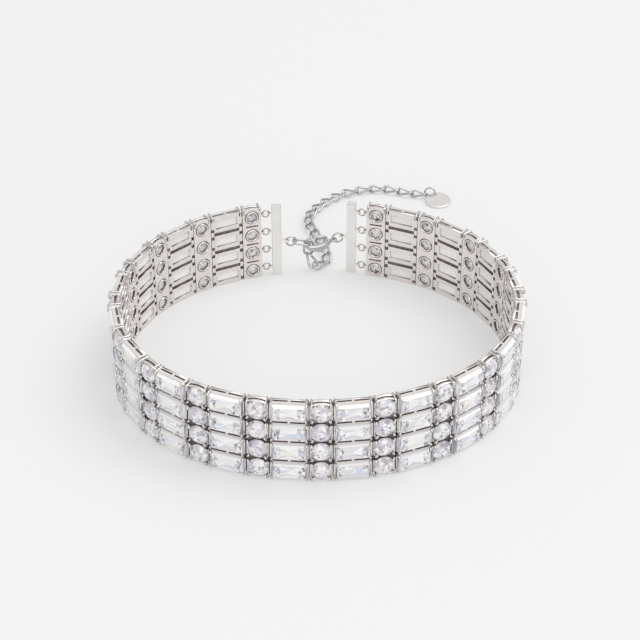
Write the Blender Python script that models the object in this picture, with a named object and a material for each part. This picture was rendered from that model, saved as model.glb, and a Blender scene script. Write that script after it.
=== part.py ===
"""Choker necklace: a band of hinged stone-set panels, closed by a lobster clasp and an extension chain.

The band stands on its lower edge. Round panels, each a column of four round stones, alternate
with baguette panels, each a column of four long stones. Four small rings join each end of the
band to a plain bar. Units are metres, +Z is up and the front of the band faces -Y.
"""

import math

import bmesh
import bpy
from mathutils import Matrix, Vector

MM = 0.001

# Stones and the metal round them
ROWS = 4
ROUND_STONE_DIAMETER = 5.5 * MM
ROUND_TABLE_DIAMETER = 3.2 * MM
BAGUETTE_STONE_LENGTH = 9.8 * MM
BAGUETTE_STONE_HEIGHT = 4.9 * MM
BAGUETTE_CORNER_CUT = 0.5 * MM
BAGUETTE_CROWN_RUN = 0.6 * MM
STONE_RISE = 0.95 * MM
STONE_SEAT = 0.1 * MM
WINDOW_DEPTH = 1.6 * MM
SIDE_METAL = 0.2 * MM
END_METAL = 0.23 * MM
RAIL_METAL = 0.25 * MM
WINDOW_RIM = 0.95 * MM

# Panels
GALLERY_DEPTH = 2.5 * MM
ROW_SLOT_HEIGHT = 1.1 * MM
SLOT_END_METAL = 0.9 * MM
EDGE_SLOT_DEPTH = 0.7 * MM
EDGE_SLOT_BACK = 0.75 * MM
EDGE_SLOT_POST = 1.0 * MM
ARC_RISE = 0.3 * MM
PANEL_GAP = 0.35 * MM

# Band in plan
BAGUETTE_PANELS_PER_SIDE = 9
PLAN_DEPTH_SHARE = 0.895
PLAN_SQUARENESS = 2.1

# Bars at the ends of the band, with their lugs and small rings
BAR_WIDTH = 3.0 * MM
BAR_THICKNESS = 1.85 * MM
LEFT_BAR_TURN = math.radians(0.0)
RIGHT_BAR_TURN = math.radians(-20.0)
LUG_REACH = 0.7 * MM
LUG_HOLE = 0.8 * MM
LUG_RIM = 0.35 * MM
LUG_THICKNESS = 0.45 * MM
LUG_ROOT = 0.3 * MM
SMALL_RING_RADIUS = 1.15 * MM
SMALL_RING_WIRE = 0.45 * MM

# Loops, jump rings and clasp between the bars
LOOP_REACH = 1.6 * MM
LOOP_HOLE = 1.05 * MM
LOOP_RIM = 0.4 * MM
LOOP_RISE = -0.1 * MM
JUMP_RING_RADIUS = 1.6 * MM
JUMP_RING_WIRE = 0.55 * MM
JUMP_RING_DROP = math.radians(20.0)
CLASP_RING_DROP = math.radians(25.0)
CLOSURE_SLACK = 1.98 * MM
RUNNING_GAP = 0.2 * MM

# Lobster clasp, measured from the centre of its eye towards the hook
EYE_RADIUS = 0.95 * MM
EYE_WIRE = 0.7 * MM
HOOK_SEAT = 7.6 * MM
CLASP_FLATNESS = 0.62
PIVOT_ALONG = 2.3 * MM
PIVOT_UP = 0.8 * MM
PIN_RADIUS = 0.22 * MM
KNUCKLE_RADIUS = 0.6 * MM
KNUCKLE_WIDTH = 0.75 * MM
CHEEK_THICKNESS = 0.3 * MM
CHEEK_GAP = 0.12 * MM

# Extension chain
LINK_LENGTH = 6.27 * MM
LINK_WIDTH = 3.6 * MM
LINK_WIRE = 0.8 * MM
LINK_BITE = 0.25 * MM
LINK_TWIST = math.radians(-40.0)
HANGING_ROLLS = (math.radians(90.0), math.radians(-55.0))
LINK_REST = 1.3 * MM
LINK_ASIDE = 0.35 * MM
HANG_ASIDE = 0.8 * MM
HANG_LEAN = 0.15
LINK_SEGMENTS = 10
WIRE_SIDES = 5

# End ring and end disc of the chain
END_RING_RADIUS = 1.75 * MM
END_RING_WIRE = 0.6 * MM
END_RING_LEAN = math.radians(25.0)
END_RING_TURN = math.radians(25.0)
DISC_DIAMETER = 8.6 * MM
DISC_THICKNESS = 0.8 * MM
DISC_HOLE = 1.65 * MM
DISC_RIM = 0.5 * MM
DISC_HEADING = math.radians(-68.0)

# Route of the extension chain over the floor behind the band, in plan
CHAIN_ROUTE = (
    (0.3, 52.8),
    (4.0, 55.6),
    (4.4, 59.9),
    (3.5, 64.4),
    (2.1, 69.0),
    (0.6, 73.5),
    (-0.9, 77.8),
    (-1.5, 82.3),
    (-0.2, 86.7),
    (2.5, 91.2),
    (6.2, 95.4),
    (11.0, 99.2),
    (16.0, 101.5),
    (21.5, 102.5),
    (27.2, 101.9),
    (31.8, 100.0),
    (36.5, 98.6),
    (43.0, 98.1),
)

# Sizes that follow from the ones above
CELL_HEIGHT = BAGUETTE_STONE_HEIGHT + 2 * RAIL_METAL
ROW_PITCH = CELL_HEIGHT + ROW_SLOT_HEIGHT
RAIL_HEIGHT = (ROWS - 1) * ROW_PITCH + CELL_HEIGHT
BAND_HEIGHT = RAIL_HEIGHT + 2 * ARC_RISE
ROUND_PANEL_WIDTH = ROUND_STONE_DIAMETER + 2 * SIDE_METAL
BAGUETTE_PANEL_WIDTH = BAGUETTE_STONE_LENGTH + 2 * END_METAL
ROUND_CHORD = ROUND_PANEL_WIDTH + PANEL_GAP
BAGUETTE_CHORD = BAGUETTE_PANEL_WIDTH + PANEL_GAP
LINK_PITCH = LINK_LENGTH - 2 * LINK_WIRE + LINK_BITE
LOOP_HEIGHT = BAND_HEIGHT / 2 + LOOP_RISE
LUG_DEPTH = GALLERY_DEPTH / 2
RING_TO_LINK = JUMP_RING_RADIUS + LINK_LENGTH - LINK_WIRE - (LINK_WIRE + JUMP_RING_WIRE) / 2 - RUNNING_GAP
UP = Vector((0.0, 0.0, 1.0))


def row_height(row):
    """Height of the middle of a row of stones above the floor."""
    return ARC_RISE + CELL_HEIGHT / 2 + row * ROW_PITCH


def clear_scene():
    """Removes every object that the scene starts with."""
    for item in list(bpy.data.objects):
        bpy.data.objects.remove(item)


def make_collection(name, hidden=False):
    """Adds a collection to the scene."""
    collection = bpy.data.collections.new(name)
    bpy.context.scene.collection.children.link(collection)
    collection.hide_render = hidden
    return collection


def make_material(name, colour, roughness, metallic):
    """Makes a Principled material with one colour."""
    material = bpy.data.materials.new(name)
    material.use_nodes = True
    shader = material.node_tree.nodes["Principled BSDF"]
    shader.inputs["Base Color"].default_value = (*colour, 1.0)
    shader.inputs["Roughness"].default_value = roughness
    shader.inputs["Metallic"].default_value = metallic
    material.diffuse_color = (*colour, 1.0)
    return material


def work_object(mesh):
    """Puts a mesh in the workshop collection, where shapes are cut and joined."""
    item = bpy.data.objects.new(mesh.name, mesh)
    item.hide_render = True
    bpy.data.collections["workshop"].objects.link(item)
    return item


def mesh_from(shape, name):
    """Turns a bmesh into a mesh and frees it."""
    mesh = bpy.data.meshes.new(name)
    shape.to_mesh(mesh)
    shape.free()
    return mesh


def evaluated_mesh(item):
    """Mesh of an object with its modifiers or its curve bevel applied."""
    graph = bpy.context.evaluated_depsgraph_get()
    return bpy.data.meshes.new_from_object(item.evaluated_get(graph))


def boolean(target, tool, operation):
    """Joins a tool to the target or cuts it away, and removes the tool."""
    modifier = target.modifiers.new(operation.lower(), "BOOLEAN")
    modifier.operation = operation
    modifier.solver = "EXACT"
    modifier.object = tool
    target.data = evaluated_mesh(target)
    target.modifiers.clear()
    bpy.data.objects.remove(tool)


def curve_mesh(name, curve):
    """Closed mesh of a curve, with the seams of its caps welded."""
    item = bpy.data.objects.new(name, curve)
    bpy.data.collections["workshop"].objects.link(item)
    shape = bmesh.new()
    shape.from_mesh(evaluated_mesh(item))
    bpy.data.objects.remove(item)
    bmesh.ops.remove_doubles(shape, verts=shape.verts, dist=0.0005 * MM)
    return mesh_from(shape, name)


def flat_plate(name, outlines, thickness):
    """Plate in the XY plane from one outline and the outlines of its holes, centred in Z."""
    curve = bpy.data.curves.new(name, "CURVE")
    curve.dimensions = "2D"
    curve.fill_mode = "BOTH"
    curve.extrude = thickness / 2
    for outline in outlines:
        spline = curve.splines.new("POLY")
        spline.points.add(len(outline) - 1)
        for point, (x, y) in zip(spline.points, outline):
            point.co = (x, y, 0.0, 1.0)
        spline.use_cyclic_u = True
    return curve_mesh(name, curve)


def rod(name, stations):
    """Round rod in the XZ plane through stations of distance along, height and radius."""
    curve = bpy.data.curves.new(name, "CURVE")
    curve.dimensions = "3D"
    curve.bevel_depth = MM
    curve.bevel_resolution = 2
    curve.render_resolution_u = 0
    curve.use_fill_caps = True
    spline = curve.splines.new("POLY")
    spline.points.add(len(stations) - 1)
    for point, (along, height, radius) in zip(spline.points, stations):
        point.co = (along, 0.0, height, 1.0)
        point.radius = radius / MM
    return curve_mesh(name, curve)


def block(name, low, high):
    """Box between two corners."""
    shape = bmesh.new()
    bmesh.ops.create_cube(shape, size=1.0)
    low, high = Vector(low), Vector(high)
    size = Matrix.Diagonal((*(high - low), 1.0))
    bmesh.ops.transform(shape, matrix=Matrix.Translation((low + high) / 2) @ size, verts=shape.verts)
    return mesh_from(shape, name)


def joined(name, placed):
    """One mesh from several, each moved by its own matrix."""
    shape = bmesh.new()
    for mesh, matrix in placed:
        first = len(shape.verts)
        shape.from_mesh(mesh)
        shape.verts.ensure_lookup_table()
        bmesh.ops.transform(shape, matrix=matrix, verts=shape.verts[first:])
    return mesh_from(shape, name)


def in_rows(name, mesh):
    """Copies of a mesh at the middle of every row."""
    return joined(name, [(mesh, Matrix.Translation(UP * row_height(row))) for row in range(ROWS)])


# Faceted stones and the windows behind them

OUTWARD = Matrix.Rotation(-math.pi / 2, 4, "X")


def round_crown():
    """Crown of a round stone: a table and eight facets, set a little into the metal."""
    shape = bmesh.new()
    height = STONE_SEAT + STONE_RISE
    bmesh.ops.create_cone(shape, cap_ends=True, segments=8, radius1=ROUND_STONE_DIAMETER / 2,
                          radius2=ROUND_TABLE_DIAMETER / 2, depth=height)
    lift = Matrix.Translation((0.0, GALLERY_DEPTH - STONE_SEAT + height / 2, 0.0))
    turn = Matrix.Rotation(math.pi / 8, 4, "Z")
    bmesh.ops.transform(shape, matrix=lift @ OUTWARD @ turn, verts=shape.verts)
    return mesh_from(shape, "round_crown")


def baguette_crown():
    """Crown of a long stone with cut corners: a table and eight facets."""
    length, height = BAGUETTE_STONE_LENGTH, BAGUETTE_STONE_HEIGHT
    base = GALLERY_DEPTH - STONE_SEAT
    top = GALLERY_DEPTH + STONE_RISE
    shape = bmesh.new()
    shape.from_mesh(block("crown", (-length / 2, base, -height / 2), (length / 2, top, height / 2)))
    corners = [edge for edge in shape.edges if abs((edge.verts[0].co - edge.verts[1].co).normalized().y) > 0.9]
    bmesh.ops.bevel(shape, geom=corners, offset=BAGUETTE_CORNER_CUT, segments=1, affect="EDGES")
    for vertex in shape.verts:
        if vertex.co.y > (base + top) / 2:
            vertex.co.x *= 1 - 2 * BAGUETTE_CROWN_RUN / length
            vertex.co.z *= 1 - 2 * BAGUETTE_CROWN_RUN / height
    return mesh_from(shape, "baguette_crown")


def round_window():
    """Cutter for the blind round window behind a round stone."""
    radius = ROUND_STONE_DIAMETER / 2 - WINDOW_RIM
    depth = WINDOW_DEPTH + WINDOW_RIM
    shape = bmesh.new()
    bmesh.ops.create_cone(shape, cap_ends=True, segments=8, radius1=radius, radius2=radius, depth=depth)
    lift = Matrix.Translation((0.0, WINDOW_DEPTH - depth / 2, 0.0))
    turn = Matrix.Rotation(math.pi / 8, 4, "Z")
    bmesh.ops.transform(shape, matrix=lift @ OUTWARD @ turn, verts=shape.verts)
    return mesh_from(shape, "round_window")


def baguette_window():
    """Cutter for the blind long window behind a long stone."""
    half_length = BAGUETTE_STONE_LENGTH / 2 - WINDOW_RIM
    half_height = BAGUETTE_STONE_HEIGHT / 2 - WINDOW_RIM
    return block("baguette_window", (-half_length, -WINDOW_RIM, -half_height),
                 (half_length, WINDOW_DEPTH, half_height))


# Panels, each with its inner face at Y = 0 and its stones facing +Y

def round_outline():
    """Outline of a round panel in X and Z, with a low arc over each end of its column."""
    half = ROUND_PANEL_WIDTH / 2
    steps = [-1.0, -0.4, 0.4, 1.0]
    rise = [ARC_RISE * (1 - step ** 2) for step in steps]
    top = [(half * step, ARC_RISE + RAIL_HEIGHT + up) for step, up in zip(steps, rise)]
    bottom = [(half * step, ARC_RISE - up) for step, up in zip(steps, rise)]
    return bottom + top[::-1]


def lug_mesh(name, reach, hole, rim, root):
    """Flat lug that reaches along +X from its root, with a square hole at its reach."""
    end = reach + hole / 2 + rim
    side = hole / 2 + rim
    outline = [(-root, -side), (end, -side), (end, side), (-root, side)]
    opening = [(reach + x * hole / 2, y * hole / 2) for x, y in ((-1, -1), (1, -1), (1, 1), (-1, 1))]
    return flat_plate(name, [outline, opening], LUG_THICKNESS)


def add_row_lugs(target, edge, side, depth):
    """Joins a lug to every row of a panel or bar, at a distance along X and on the given side."""
    lug = lug_mesh("lug", LUG_REACH, LUG_HOLE, LUG_RIM, LUG_ROOT)
    turn = Matrix.Rotation(0.0 if side > 0 else math.pi, 4, "Z")
    seat = Matrix.Translation((side * edge, depth, 0.0))
    placed = [(lug, Matrix.Translation(UP * row_height(row)) @ seat @ turn) for row in range(ROWS)]
    boolean(target, work_object(joined("lugs", placed)), "UNION")


def round_panel_mesh(lug_side=0):
    """Plate with four round stones; an end panel also has four lugs on one side."""
    plate = flat_plate("round_panel", [round_outline()], GALLERY_DEPTH)
    plate.transform(Matrix.Translation((0.0, GALLERY_DEPTH / 2, 0.0)) @ Matrix.Rotation(math.pi / 2, 4, "X"))
    panel = work_object(plate)
    boolean(panel, work_object(in_rows("crowns", round_crown())), "UNION")
    boolean(panel, work_object(in_rows("windows", round_window())), "DIFFERENCE")
    if lug_side:
        add_row_lugs(panel, ROUND_PANEL_WIDTH / 2, lug_side, LUG_DEPTH)
    return panel.data


def row_slots():
    """Cutters for the long slots between the rows of a baguette panel."""
    half = BAGUETTE_PANEL_WIDTH / 2 - SLOT_END_METAL
    over = GALLERY_DEPTH
    slot = block("row_slot", (-half, -over, -ROW_SLOT_HEIGHT / 2), (half, GALLERY_DEPTH + over, ROW_SLOT_HEIGHT / 2))
    middles = [(row_height(row) + row_height(row + 1)) / 2 for row in range(ROWS - 1)]
    return joined("row_slots", [(slot, Matrix.Translation(UP * middle)) for middle in middles])


def edge_slots():
    """Cutters for the two slots through the top rail of a baguette panel, either side of its post."""
    inner = EDGE_SLOT_POST / 2
    outer = BAGUETTE_STONE_LENGTH / 2 - WINDOW_RIM - STONE_SEAT
    low = row_height(ROWS - 1) + BAGUETTE_STONE_HEIGHT / 2 - WINDOW_RIM - STONE_SEAT
    high = BAND_HEIGHT + GALLERY_DEPTH
    back = EDGE_SLOT_BACK
    pair = [block("edge_slot", (a, back, low), (b, back + EDGE_SLOT_DEPTH, high))
            for a, b in ((inner, outer), (-outer, -inner))]
    return joined("edge_slots", [(mesh, Matrix.Identity(4)) for mesh in pair])


def baguette_panel_mesh():
    """Frame with four long stones, slots between its rows and two slots in its top rail."""
    half = BAGUETTE_PANEL_WIDTH / 2
    panel = work_object(block("baguette_panel", (-half, 0.0, ARC_RISE), (half, GALLERY_DEPTH, ARC_RISE + RAIL_HEIGHT)))
    boolean(panel, work_object(in_rows("crowns", baguette_crown())), "UNION")
    windows = in_rows("windows", baguette_window())
    cutters = joined("cutters", [(windows, Matrix.Identity(4)), (row_slots(), Matrix.Identity(4))])
    boolean(panel, work_object(cutters), "DIFFERENCE")
    boolean(panel, work_object(edge_slots()), "DIFFERENCE")
    return panel.data


# Plan of the band

def band_point(angle, half_width):
    """Point of the band's inner line at an angle from the front, in plan."""
    power = 2.0 / PLAN_SQUARENESS
    across, back = math.sin(angle), -math.cos(angle)
    x = half_width * math.copysign(abs(across) ** power, across)
    y = half_width * PLAN_DEPTH_SHARE * math.copysign(abs(back) ** power, back)
    return Vector((x, y, 0.0))


def bisect(low, high, too_low):
    """Value between two limits where a test changes from true to false."""
    for _ in range(50):
        middle = (low + high) / 2
        low, high = (middle, high) if too_low(middle) else (low, middle)
    return (low + high) / 2


def borders(half_width):
    """Borders of the panels on the inner line, from the front panel round the right side."""
    angle = bisect(0.0, 1.0, lambda a: 2 * band_point(a, half_width).x < ROUND_CHORD)
    found = [band_point(angle, half_width)]
    for _ in range(BAGUETTE_PANELS_PER_SIDE):
        for chord in (BAGUETTE_CHORD, ROUND_CHORD):
            start = found[-1]
            angle = bisect(angle, angle + 1.0, lambda a: (band_point(a, half_width) - start).length < chord)
            found.append(band_point(angle, half_width))
    return found


def closure_width():
    """Distance between the ends of the band that the bars, rings and clasp take up."""
    lugs = 2 * (2 * LUG_REACH + 2 * SMALL_RING_RADIUS)
    bars = 2 * (BAR_WIDTH + LOOP_REACH)
    rings = JUMP_RING_RADIUS * (2 * math.cos(JUMP_RING_DROP) + math.cos(CLASP_RING_DROP))
    return lugs + bars + rings + RING_TO_LINK + HOOK_SEAT - CLOSURE_SLACK


def solve_plan():
    """Half-width of the plan at which the band's ends leave room for the closure."""
    chords = (2 * BAGUETTE_PANELS_PER_SIDE + 1) * ROUND_CHORD + 2 * BAGUETTE_PANELS_PER_SIDE * BAGUETTE_CHORD
    half_opening = closure_width() / 2
    return bisect(chords / 8, chords / 4, lambda width: borders(width)[-1].x < half_opening)


def placed_on(start, end):
    """Matrix of a panel whose inner face lies on the line between two borders."""
    middle = (start + end) / 2
    outward = (end - start).cross(UP).normalized()
    if outward.dot(middle) < 0:
        outward.negate()
    return Matrix.Translation(middle) @ Matrix.Rotation(math.atan2(-outward.x, outward.y), 4, "Z")


class Necklace:
    """The collection that the necklace's pieces go into, and the frame that carries them."""

    def __init__(self):
        self.collection = make_collection("choker_necklace")
        self.frame = bpy.data.objects.new("choker_frame", None)
        self.collection.objects.link(self.frame)
        self.metal = {}

    def material(self, name):
        """Material of a piece, by its name and without its number."""
        kind = name.rstrip("0123456789").rstrip("_")
        if kind not in self.metal:
            colour = (0.86, 0.86, 0.88) if "panel" in kind else (0.78, 0.77, 0.76)
            self.metal[kind] = make_material(kind, colour, 0.18, 1.0)
        return self.metal[kind]

    def add(self, name, mesh, matrix):
        """Adds one piece at its place."""
        if not mesh.materials:
            mesh.materials.append(self.material(name))
        item = bpy.data.objects.new(name, mesh)
        item.matrix_basis = matrix
        item.parent = self.frame
        self.collection.objects.link(item)
        return item


# Band, bars and small rings

def build_band(necklace):
    """Adds the panels, numbered from the right end round the front to the left end."""
    right = borders(solve_plan())
    left = [Vector((-point.x, point.y, 0.0)) for point in right]
    line = right[::-1] + left
    meshes = {"round": round_panel_mesh(), "baguette": baguette_panel_mesh()}
    ends = {0: round_panel_mesh(-1), len(line) - 2: round_panel_mesh(1)}
    for index, (start, end) in enumerate(zip(line, line[1:])):
        kind = "baguette" if index % 2 else "round"
        name = f"{kind}_panel_{index // 2 + 1:02d}"
        necklace.add(name, ends.get(index, meshes[kind]), placed_on(start, end))
    return line


def bar_mesh(inner_side):
    """Plain bar with four lugs on its outer edge and one loop on its inner edge."""
    half_width, half_depth = BAR_WIDTH / 2, BAR_THICKNESS / 2
    bar = work_object(block("end_bar", (-half_width, -half_depth, 0.0), (half_width, half_depth, BAND_HEIGHT)))
    add_row_lugs(bar, half_width, -inner_side, 0.0)
    loop = lug_mesh("loop", LOOP_REACH, LOOP_HOLE, LOOP_RIM, LUG_ROOT)
    turn = Matrix.Rotation(0.0 if inner_side > 0 else math.pi, 4, "Z")
    loop.transform(Matrix.Translation((inner_side * half_width, 0.0, LOOP_HEIGHT)) @ turn)
    boolean(bar, work_object(loop), "UNION")
    return bar.data


def ring_mesh(name, radius, wire, segments=LINK_SEGMENTS):
    """Round wire ring in the XY plane."""
    bpy.ops.mesh.primitive_torus_add(major_segments=segments, minor_segments=WIRE_SIDES,
                                     major_radius=radius, minor_radius=wire / 2)
    item = bpy.context.active_object
    mesh = item.data
    mesh.name = name
    bpy.data.objects.remove(item)
    return mesh


def standing(centre, along):
    """Matrix that stands a ring of the XY plane upright at a centre, with its X along a direction."""
    x_axis = along.normalized()
    z_axis = x_axis.cross(UP).normalized()
    y_axis = z_axis.cross(x_axis)
    turn = Matrix((x_axis, y_axis, z_axis)).transposed().to_4x4()
    return Matrix.Translation(centre) @ turn


def build_end(necklace, side, word, inner_border, end_border, turn):
    """Adds one bar with its four small rings, and returns the middle of its loop's hole."""
    panel = placed_on(inner_border, end_border)
    edge = ROUND_PANEL_WIDTH / 2 + LUG_REACH
    panel_hole = panel @ Vector((-side * edge, LUG_DEPTH, 0.0))
    towards = panel.to_3x3() @ Vector((-side, 0.0, 0.0))
    bar_turn = Matrix.Rotation(turn, 4, "Z")
    inward = bar_turn.to_3x3() @ Vector((-side, 0.0, 0.0))
    line = (towards + inward).normalized()
    bar_hole = panel_hole + line * 2 * SMALL_RING_RADIUS
    bar_middle = bar_hole + inward * (LUG_REACH + BAR_WIDTH / 2)
    necklace.add(f"end_bar_{word}", bar_mesh(-side), Matrix.Translation(bar_middle) @ bar_turn)
    ring = ring_mesh("small_ring", SMALL_RING_RADIUS, SMALL_RING_WIRE)
    for row in range(ROWS):
        centre = (panel_hole + bar_hole) / 2 + UP * row_height(row)
        necklace.add(f"small_ring_{word}_{row + 1}", ring, standing(centre, line))
    return bar_middle + inward * (BAR_WIDTH / 2 + LOOP_REACH) + UP * LOOP_HEIGHT


# Clasp

def clasp_spine():
    """Stations of the clasp's body and hook, from the eye round to the tip."""
    hook = 0.65 * MM
    far = HOOK_SEAT + LINK_WIRE / 2 + RUNNING_GAP + hook
    belly = 1.35 * MM
    return (
        (EYE_RADIUS * 1.1, 0.0, 0.45 * belly),
        (0.21 * far, -0.5 * belly, 0.72 * belly),
        (0.35 * far, -1.12 * belly, 0.94 * belly),
        (0.52 * far, -1.42 * belly, belly),
        (0.70 * far, -1.36 * belly, 0.94 * belly),
        (0.87 * far, -1.0 * belly, 0.74 * belly),
        (0.975 * far, -0.36 * belly, 0.48 * belly),
        (far, 0.38 * belly, hook),
        (0.955 * far, 1.05 * belly, 0.85 * hook),
        (0.87 * far, 1.45 * belly, 0.72 * hook),
        (0.79 * far, 1.56 * belly, 0.62 * hook),
    )


def clasp_body_mesh():
    """Body with its hook, its eye and the two cheeks that hold the lever's pin."""
    spine = clasp_spine()
    mesh = rod("clasp_body", spine)
    mesh.transform(Matrix.Diagonal((1.0, CLASP_FLATNESS, 1.0, 1.0)))
    body = work_object(mesh)
    boolean(body, work_object(ring_mesh("eye", EYE_RADIUS, EYE_WIRE)), "UNION")
    slot = KNUCKLE_WIDTH / 2 + CHEEK_GAP
    width = slot + CHEEK_THICKNESS
    reach = KNUCKLE_RADIUS * 0.75
    top = PIVOT_UP + KNUCKLE_RADIUS * 0.6
    foot = spine[1][1]
    for low, high in ((-width, -slot), (slot, width)):
        cheek = block("cheek", (PIVOT_ALONG - reach, low, foot), (PIVOT_ALONG + reach, high, top))
        boolean(body, work_object(cheek), "UNION")
    pin = bmesh.new()
    length = 2 * slot + CHEEK_THICKNESS
    bmesh.ops.create_cone(pin, cap_ends=True, segments=6, radius1=PIN_RADIUS, radius2=PIN_RADIUS, depth=length)
    place = Matrix.Translation((PIVOT_ALONG, 0.0, PIVOT_UP)) @ OUTWARD
    bmesh.ops.transform(pin, matrix=place, verts=pin.verts)
    boolean(body, work_object(mesh_from(pin, "pin")), "UNION")
    return body.data


def lever_mesh():
    """Lever with its knuckle, measured from the pin's axis."""
    tip_along, tip_up, tip_radius = clasp_spine()[-1]
    end_radius = 0.4 * MM
    end_along = tip_along - tip_radius - RUNNING_GAP - PIVOT_ALONG
    end_up = tip_up - PIVOT_UP
    stations = (
        (0.0, 0.0, 0.35 * MM),
        (0.25 * end_along, 0.72 * end_up, 0.48 * MM),
        (0.6 * end_along, 1.08 * end_up, 0.46 * MM),
        (end_along, end_up, end_radius),
    )
    lever = work_object(rod("clasp_lever", stations))
    for name, radius, width, operation in (("knuckle", KNUCKLE_RADIUS, KNUCKLE_WIDTH, "UNION"),
                                           ("pin_hole", PIN_RADIUS + CHEEK_GAP, 2 * KNUCKLE_WIDTH, "DIFFERENCE")):
        shape = bmesh.new()
        bmesh.ops.create_cone(shape, cap_ends=True, segments=8, radius1=radius, radius2=radius, depth=width)
        bmesh.ops.transform(shape, matrix=OUTWARD, verts=shape.verts)
        boolean(lever, work_object(mesh_from(shape, name)), operation)
    return lever.data


def hang_point(left, right, left_length, right_length):
    """Lowest point of two straight lengths that hang between two points."""
    span = right - left
    base = span.length
    along = (left_length ** 2 + base ** 2 - right_length ** 2) / (2 * base)
    drop = math.sqrt(left_length ** 2 - along ** 2)
    direction = span.normalized()
    level = Vector((direction.x, direction.y, 0.0)).normalized()
    down = direction.cross(level.cross(UP)).normalized()
    if down.z > 0:
        down.negate()
    return left + direction * along + down * drop


def build_closure(necklace, left_loop, right_loop):
    """Adds the jump rings and the clasp, and returns the left ring's centre and the hooked link's end."""
    level = (right_loop - left_loop).normalized()
    left_ring = left_loop + JUMP_RING_RADIUS * (level * math.cos(JUMP_RING_DROP) - UP * math.sin(JUMP_RING_DROP))
    right_ring = right_loop - JUMP_RING_RADIUS * (level * math.cos(JUMP_RING_DROP) + UP * math.sin(JUMP_RING_DROP))
    eye = right_ring - JUMP_RING_RADIUS * (level * math.cos(CLASP_RING_DROP) + UP * math.sin(CLASP_RING_DROP))
    ring = ring_mesh("jump_ring", JUMP_RING_RADIUS, JUMP_RING_WIRE)
    necklace.add("jump_ring_left", ring, standing(left_ring, level))
    necklace.add("jump_ring_right", ring, standing(right_ring, level))
    seat = hang_point(left_ring, eye, RING_TO_LINK, HOOK_SEAT)
    x_axis = (seat - eye).normalized()
    y_axis = UP.cross(x_axis).normalized()
    z_axis = x_axis.cross(y_axis)
    clasp = Matrix.Translation(eye) @ Matrix((x_axis, y_axis, z_axis)).transposed().to_4x4()
    necklace.add("clasp_body", clasp_body_mesh(), clasp)
    pivot = Matrix.Translation((PIVOT_ALONG, 0.0, PIVOT_UP))
    necklace.add("clasp_lever", lever_mesh(), clasp @ pivot)
    return left_ring, seat


# Extension chain

def smooth_route(points, steps=24):
    """Points of a smooth curve through the route's own points."""
    padded = [2 * points[0] - points[1], *points, 2 * points[-1] - points[-2]]
    curve = []
    for a, b, c, d in zip(padded, padded[1:], padded[2:], padded[3:]):
        for step in range(steps):
            t = step / steps
            curve.append(0.5 * (2 * b + (c - a) * t + (2 * a - 5 * b + 4 * c - d) * t ** 2
                                + (3 * b - a - 3 * c + d) * t ** 3))
    curve.append(points[-1])
    return [Vector((point.x, point.y, max(point.z, LINK_REST))) for point in curve]


def link_ends(points, pitch):
    """Places along a curve that are one link's pitch apart in a straight line."""
    curve = smooth_route(points)
    found = [curve[0]]
    for start, end in zip(curve, curve[1:]):
        while (end - found[-1]).length >= pitch:
            inner = found[-1]
            share = bisect(0.0, 1.0, lambda t: (start.lerp(end, t) - inner).length < pitch)
            start = start.lerp(end, share)
            found.append(start)
    return found


def link_mesh(twist):
    """One oval link, long in X: a ring pulled apart at its middle, with its ends twisted apart."""
    radius = (LINK_WIDTH - LINK_WIRE) / 2
    stretch = (LINK_LENGTH - LINK_WIDTH) / 2
    shape = bmesh.new()
    shape.from_mesh(ring_mesh("link", radius, LINK_WIRE))
    bmesh.ops.triangulate(shape, faces=shape.faces)
    for vertex in shape.verts:
        vertex.co.x += math.copysign(stretch, vertex.co.x)
        turn = twist * vertex.co.x / (radius + stretch)
        vertex.co = Matrix.Rotation(turn, 3, "X") @ vertex.co
    return mesh_from(shape, "link")


def link_place(start, end, side, roll):
    """Matrix of a link between two contacts, rolled about its length from a side direction."""
    x_axis = (end - start).normalized()
    z_axis = (side - x_axis * side.dot(x_axis)).normalized().cross(x_axis)
    y_axis = z_axis.cross(x_axis)
    turn = Matrix((x_axis, y_axis, z_axis)).transposed().to_4x4()
    return Matrix.Translation((start + end) / 2) @ turn @ Matrix.Rotation(roll, 4, "X")


def build_chain(necklace, left_ring, seat):
    """Adds the chain as one solid of interlocked links, and returns its last contact and direction."""
    plain = link_mesh(0.0)
    curb = link_mesh(LINK_TWIST)
    towards = (seat - left_ring).normalized()
    reach = (LINK_LENGTH - LINK_WIRE) / 2
    back = UP.cross(towards).normalized()
    middle = seat - towards * reach + back * LINK_ASIDE
    hooked = link_place(middle - towards, middle + towards, back, 0.0)
    bend = (LINK_WIDTH - LINK_WIRE) / 2
    hung_wire = (LINK_LENGTH - LINK_WIDTH) / 2 + math.sqrt(bend ** 2 - HANG_ASIDE ** 2)
    hang = (back * HANG_LEAN - UP).normalized()
    top = middle + towards * hung_wire + back * HANG_ASIDE - hang * (LINK_WIRE - LINK_BITE) / 2
    floor = [Vector((x * MM, y * MM, LINK_REST)) for x, y in CHAIN_ROUTE]
    ends = link_ends([top, top + hang * LINK_PITCH, *floor], LINK_PITCH)
    side = back
    strands = ([(plain, hooked)], [])
    for index, (start, end) in enumerate(zip(ends, ends[1:])):
        direction = (end - start).normalized()
        level_side = direction.cross(UP)
        if level_side.length > 0.5:
            side = level_side.normalized() if level_side.dot(side) > 0 else -level_side.normalized()
        link = curb if index else plain
        roll = HANGING_ROLLS[index] if index < len(HANGING_ROLLS) else 0.0
        strands[(index + 1) % 2].append((link, link_place(start, end, side, roll)))
    chain = work_object(joined("linked_chain", strands[0]))
    boolean(chain, work_object(joined("other_links", strands[1])), "UNION")
    necklace.add("extension_chain", chain.data, Matrix.Identity(4))
    return ends[-1], (ends[-1] - ends[-2]).normalized()


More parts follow.
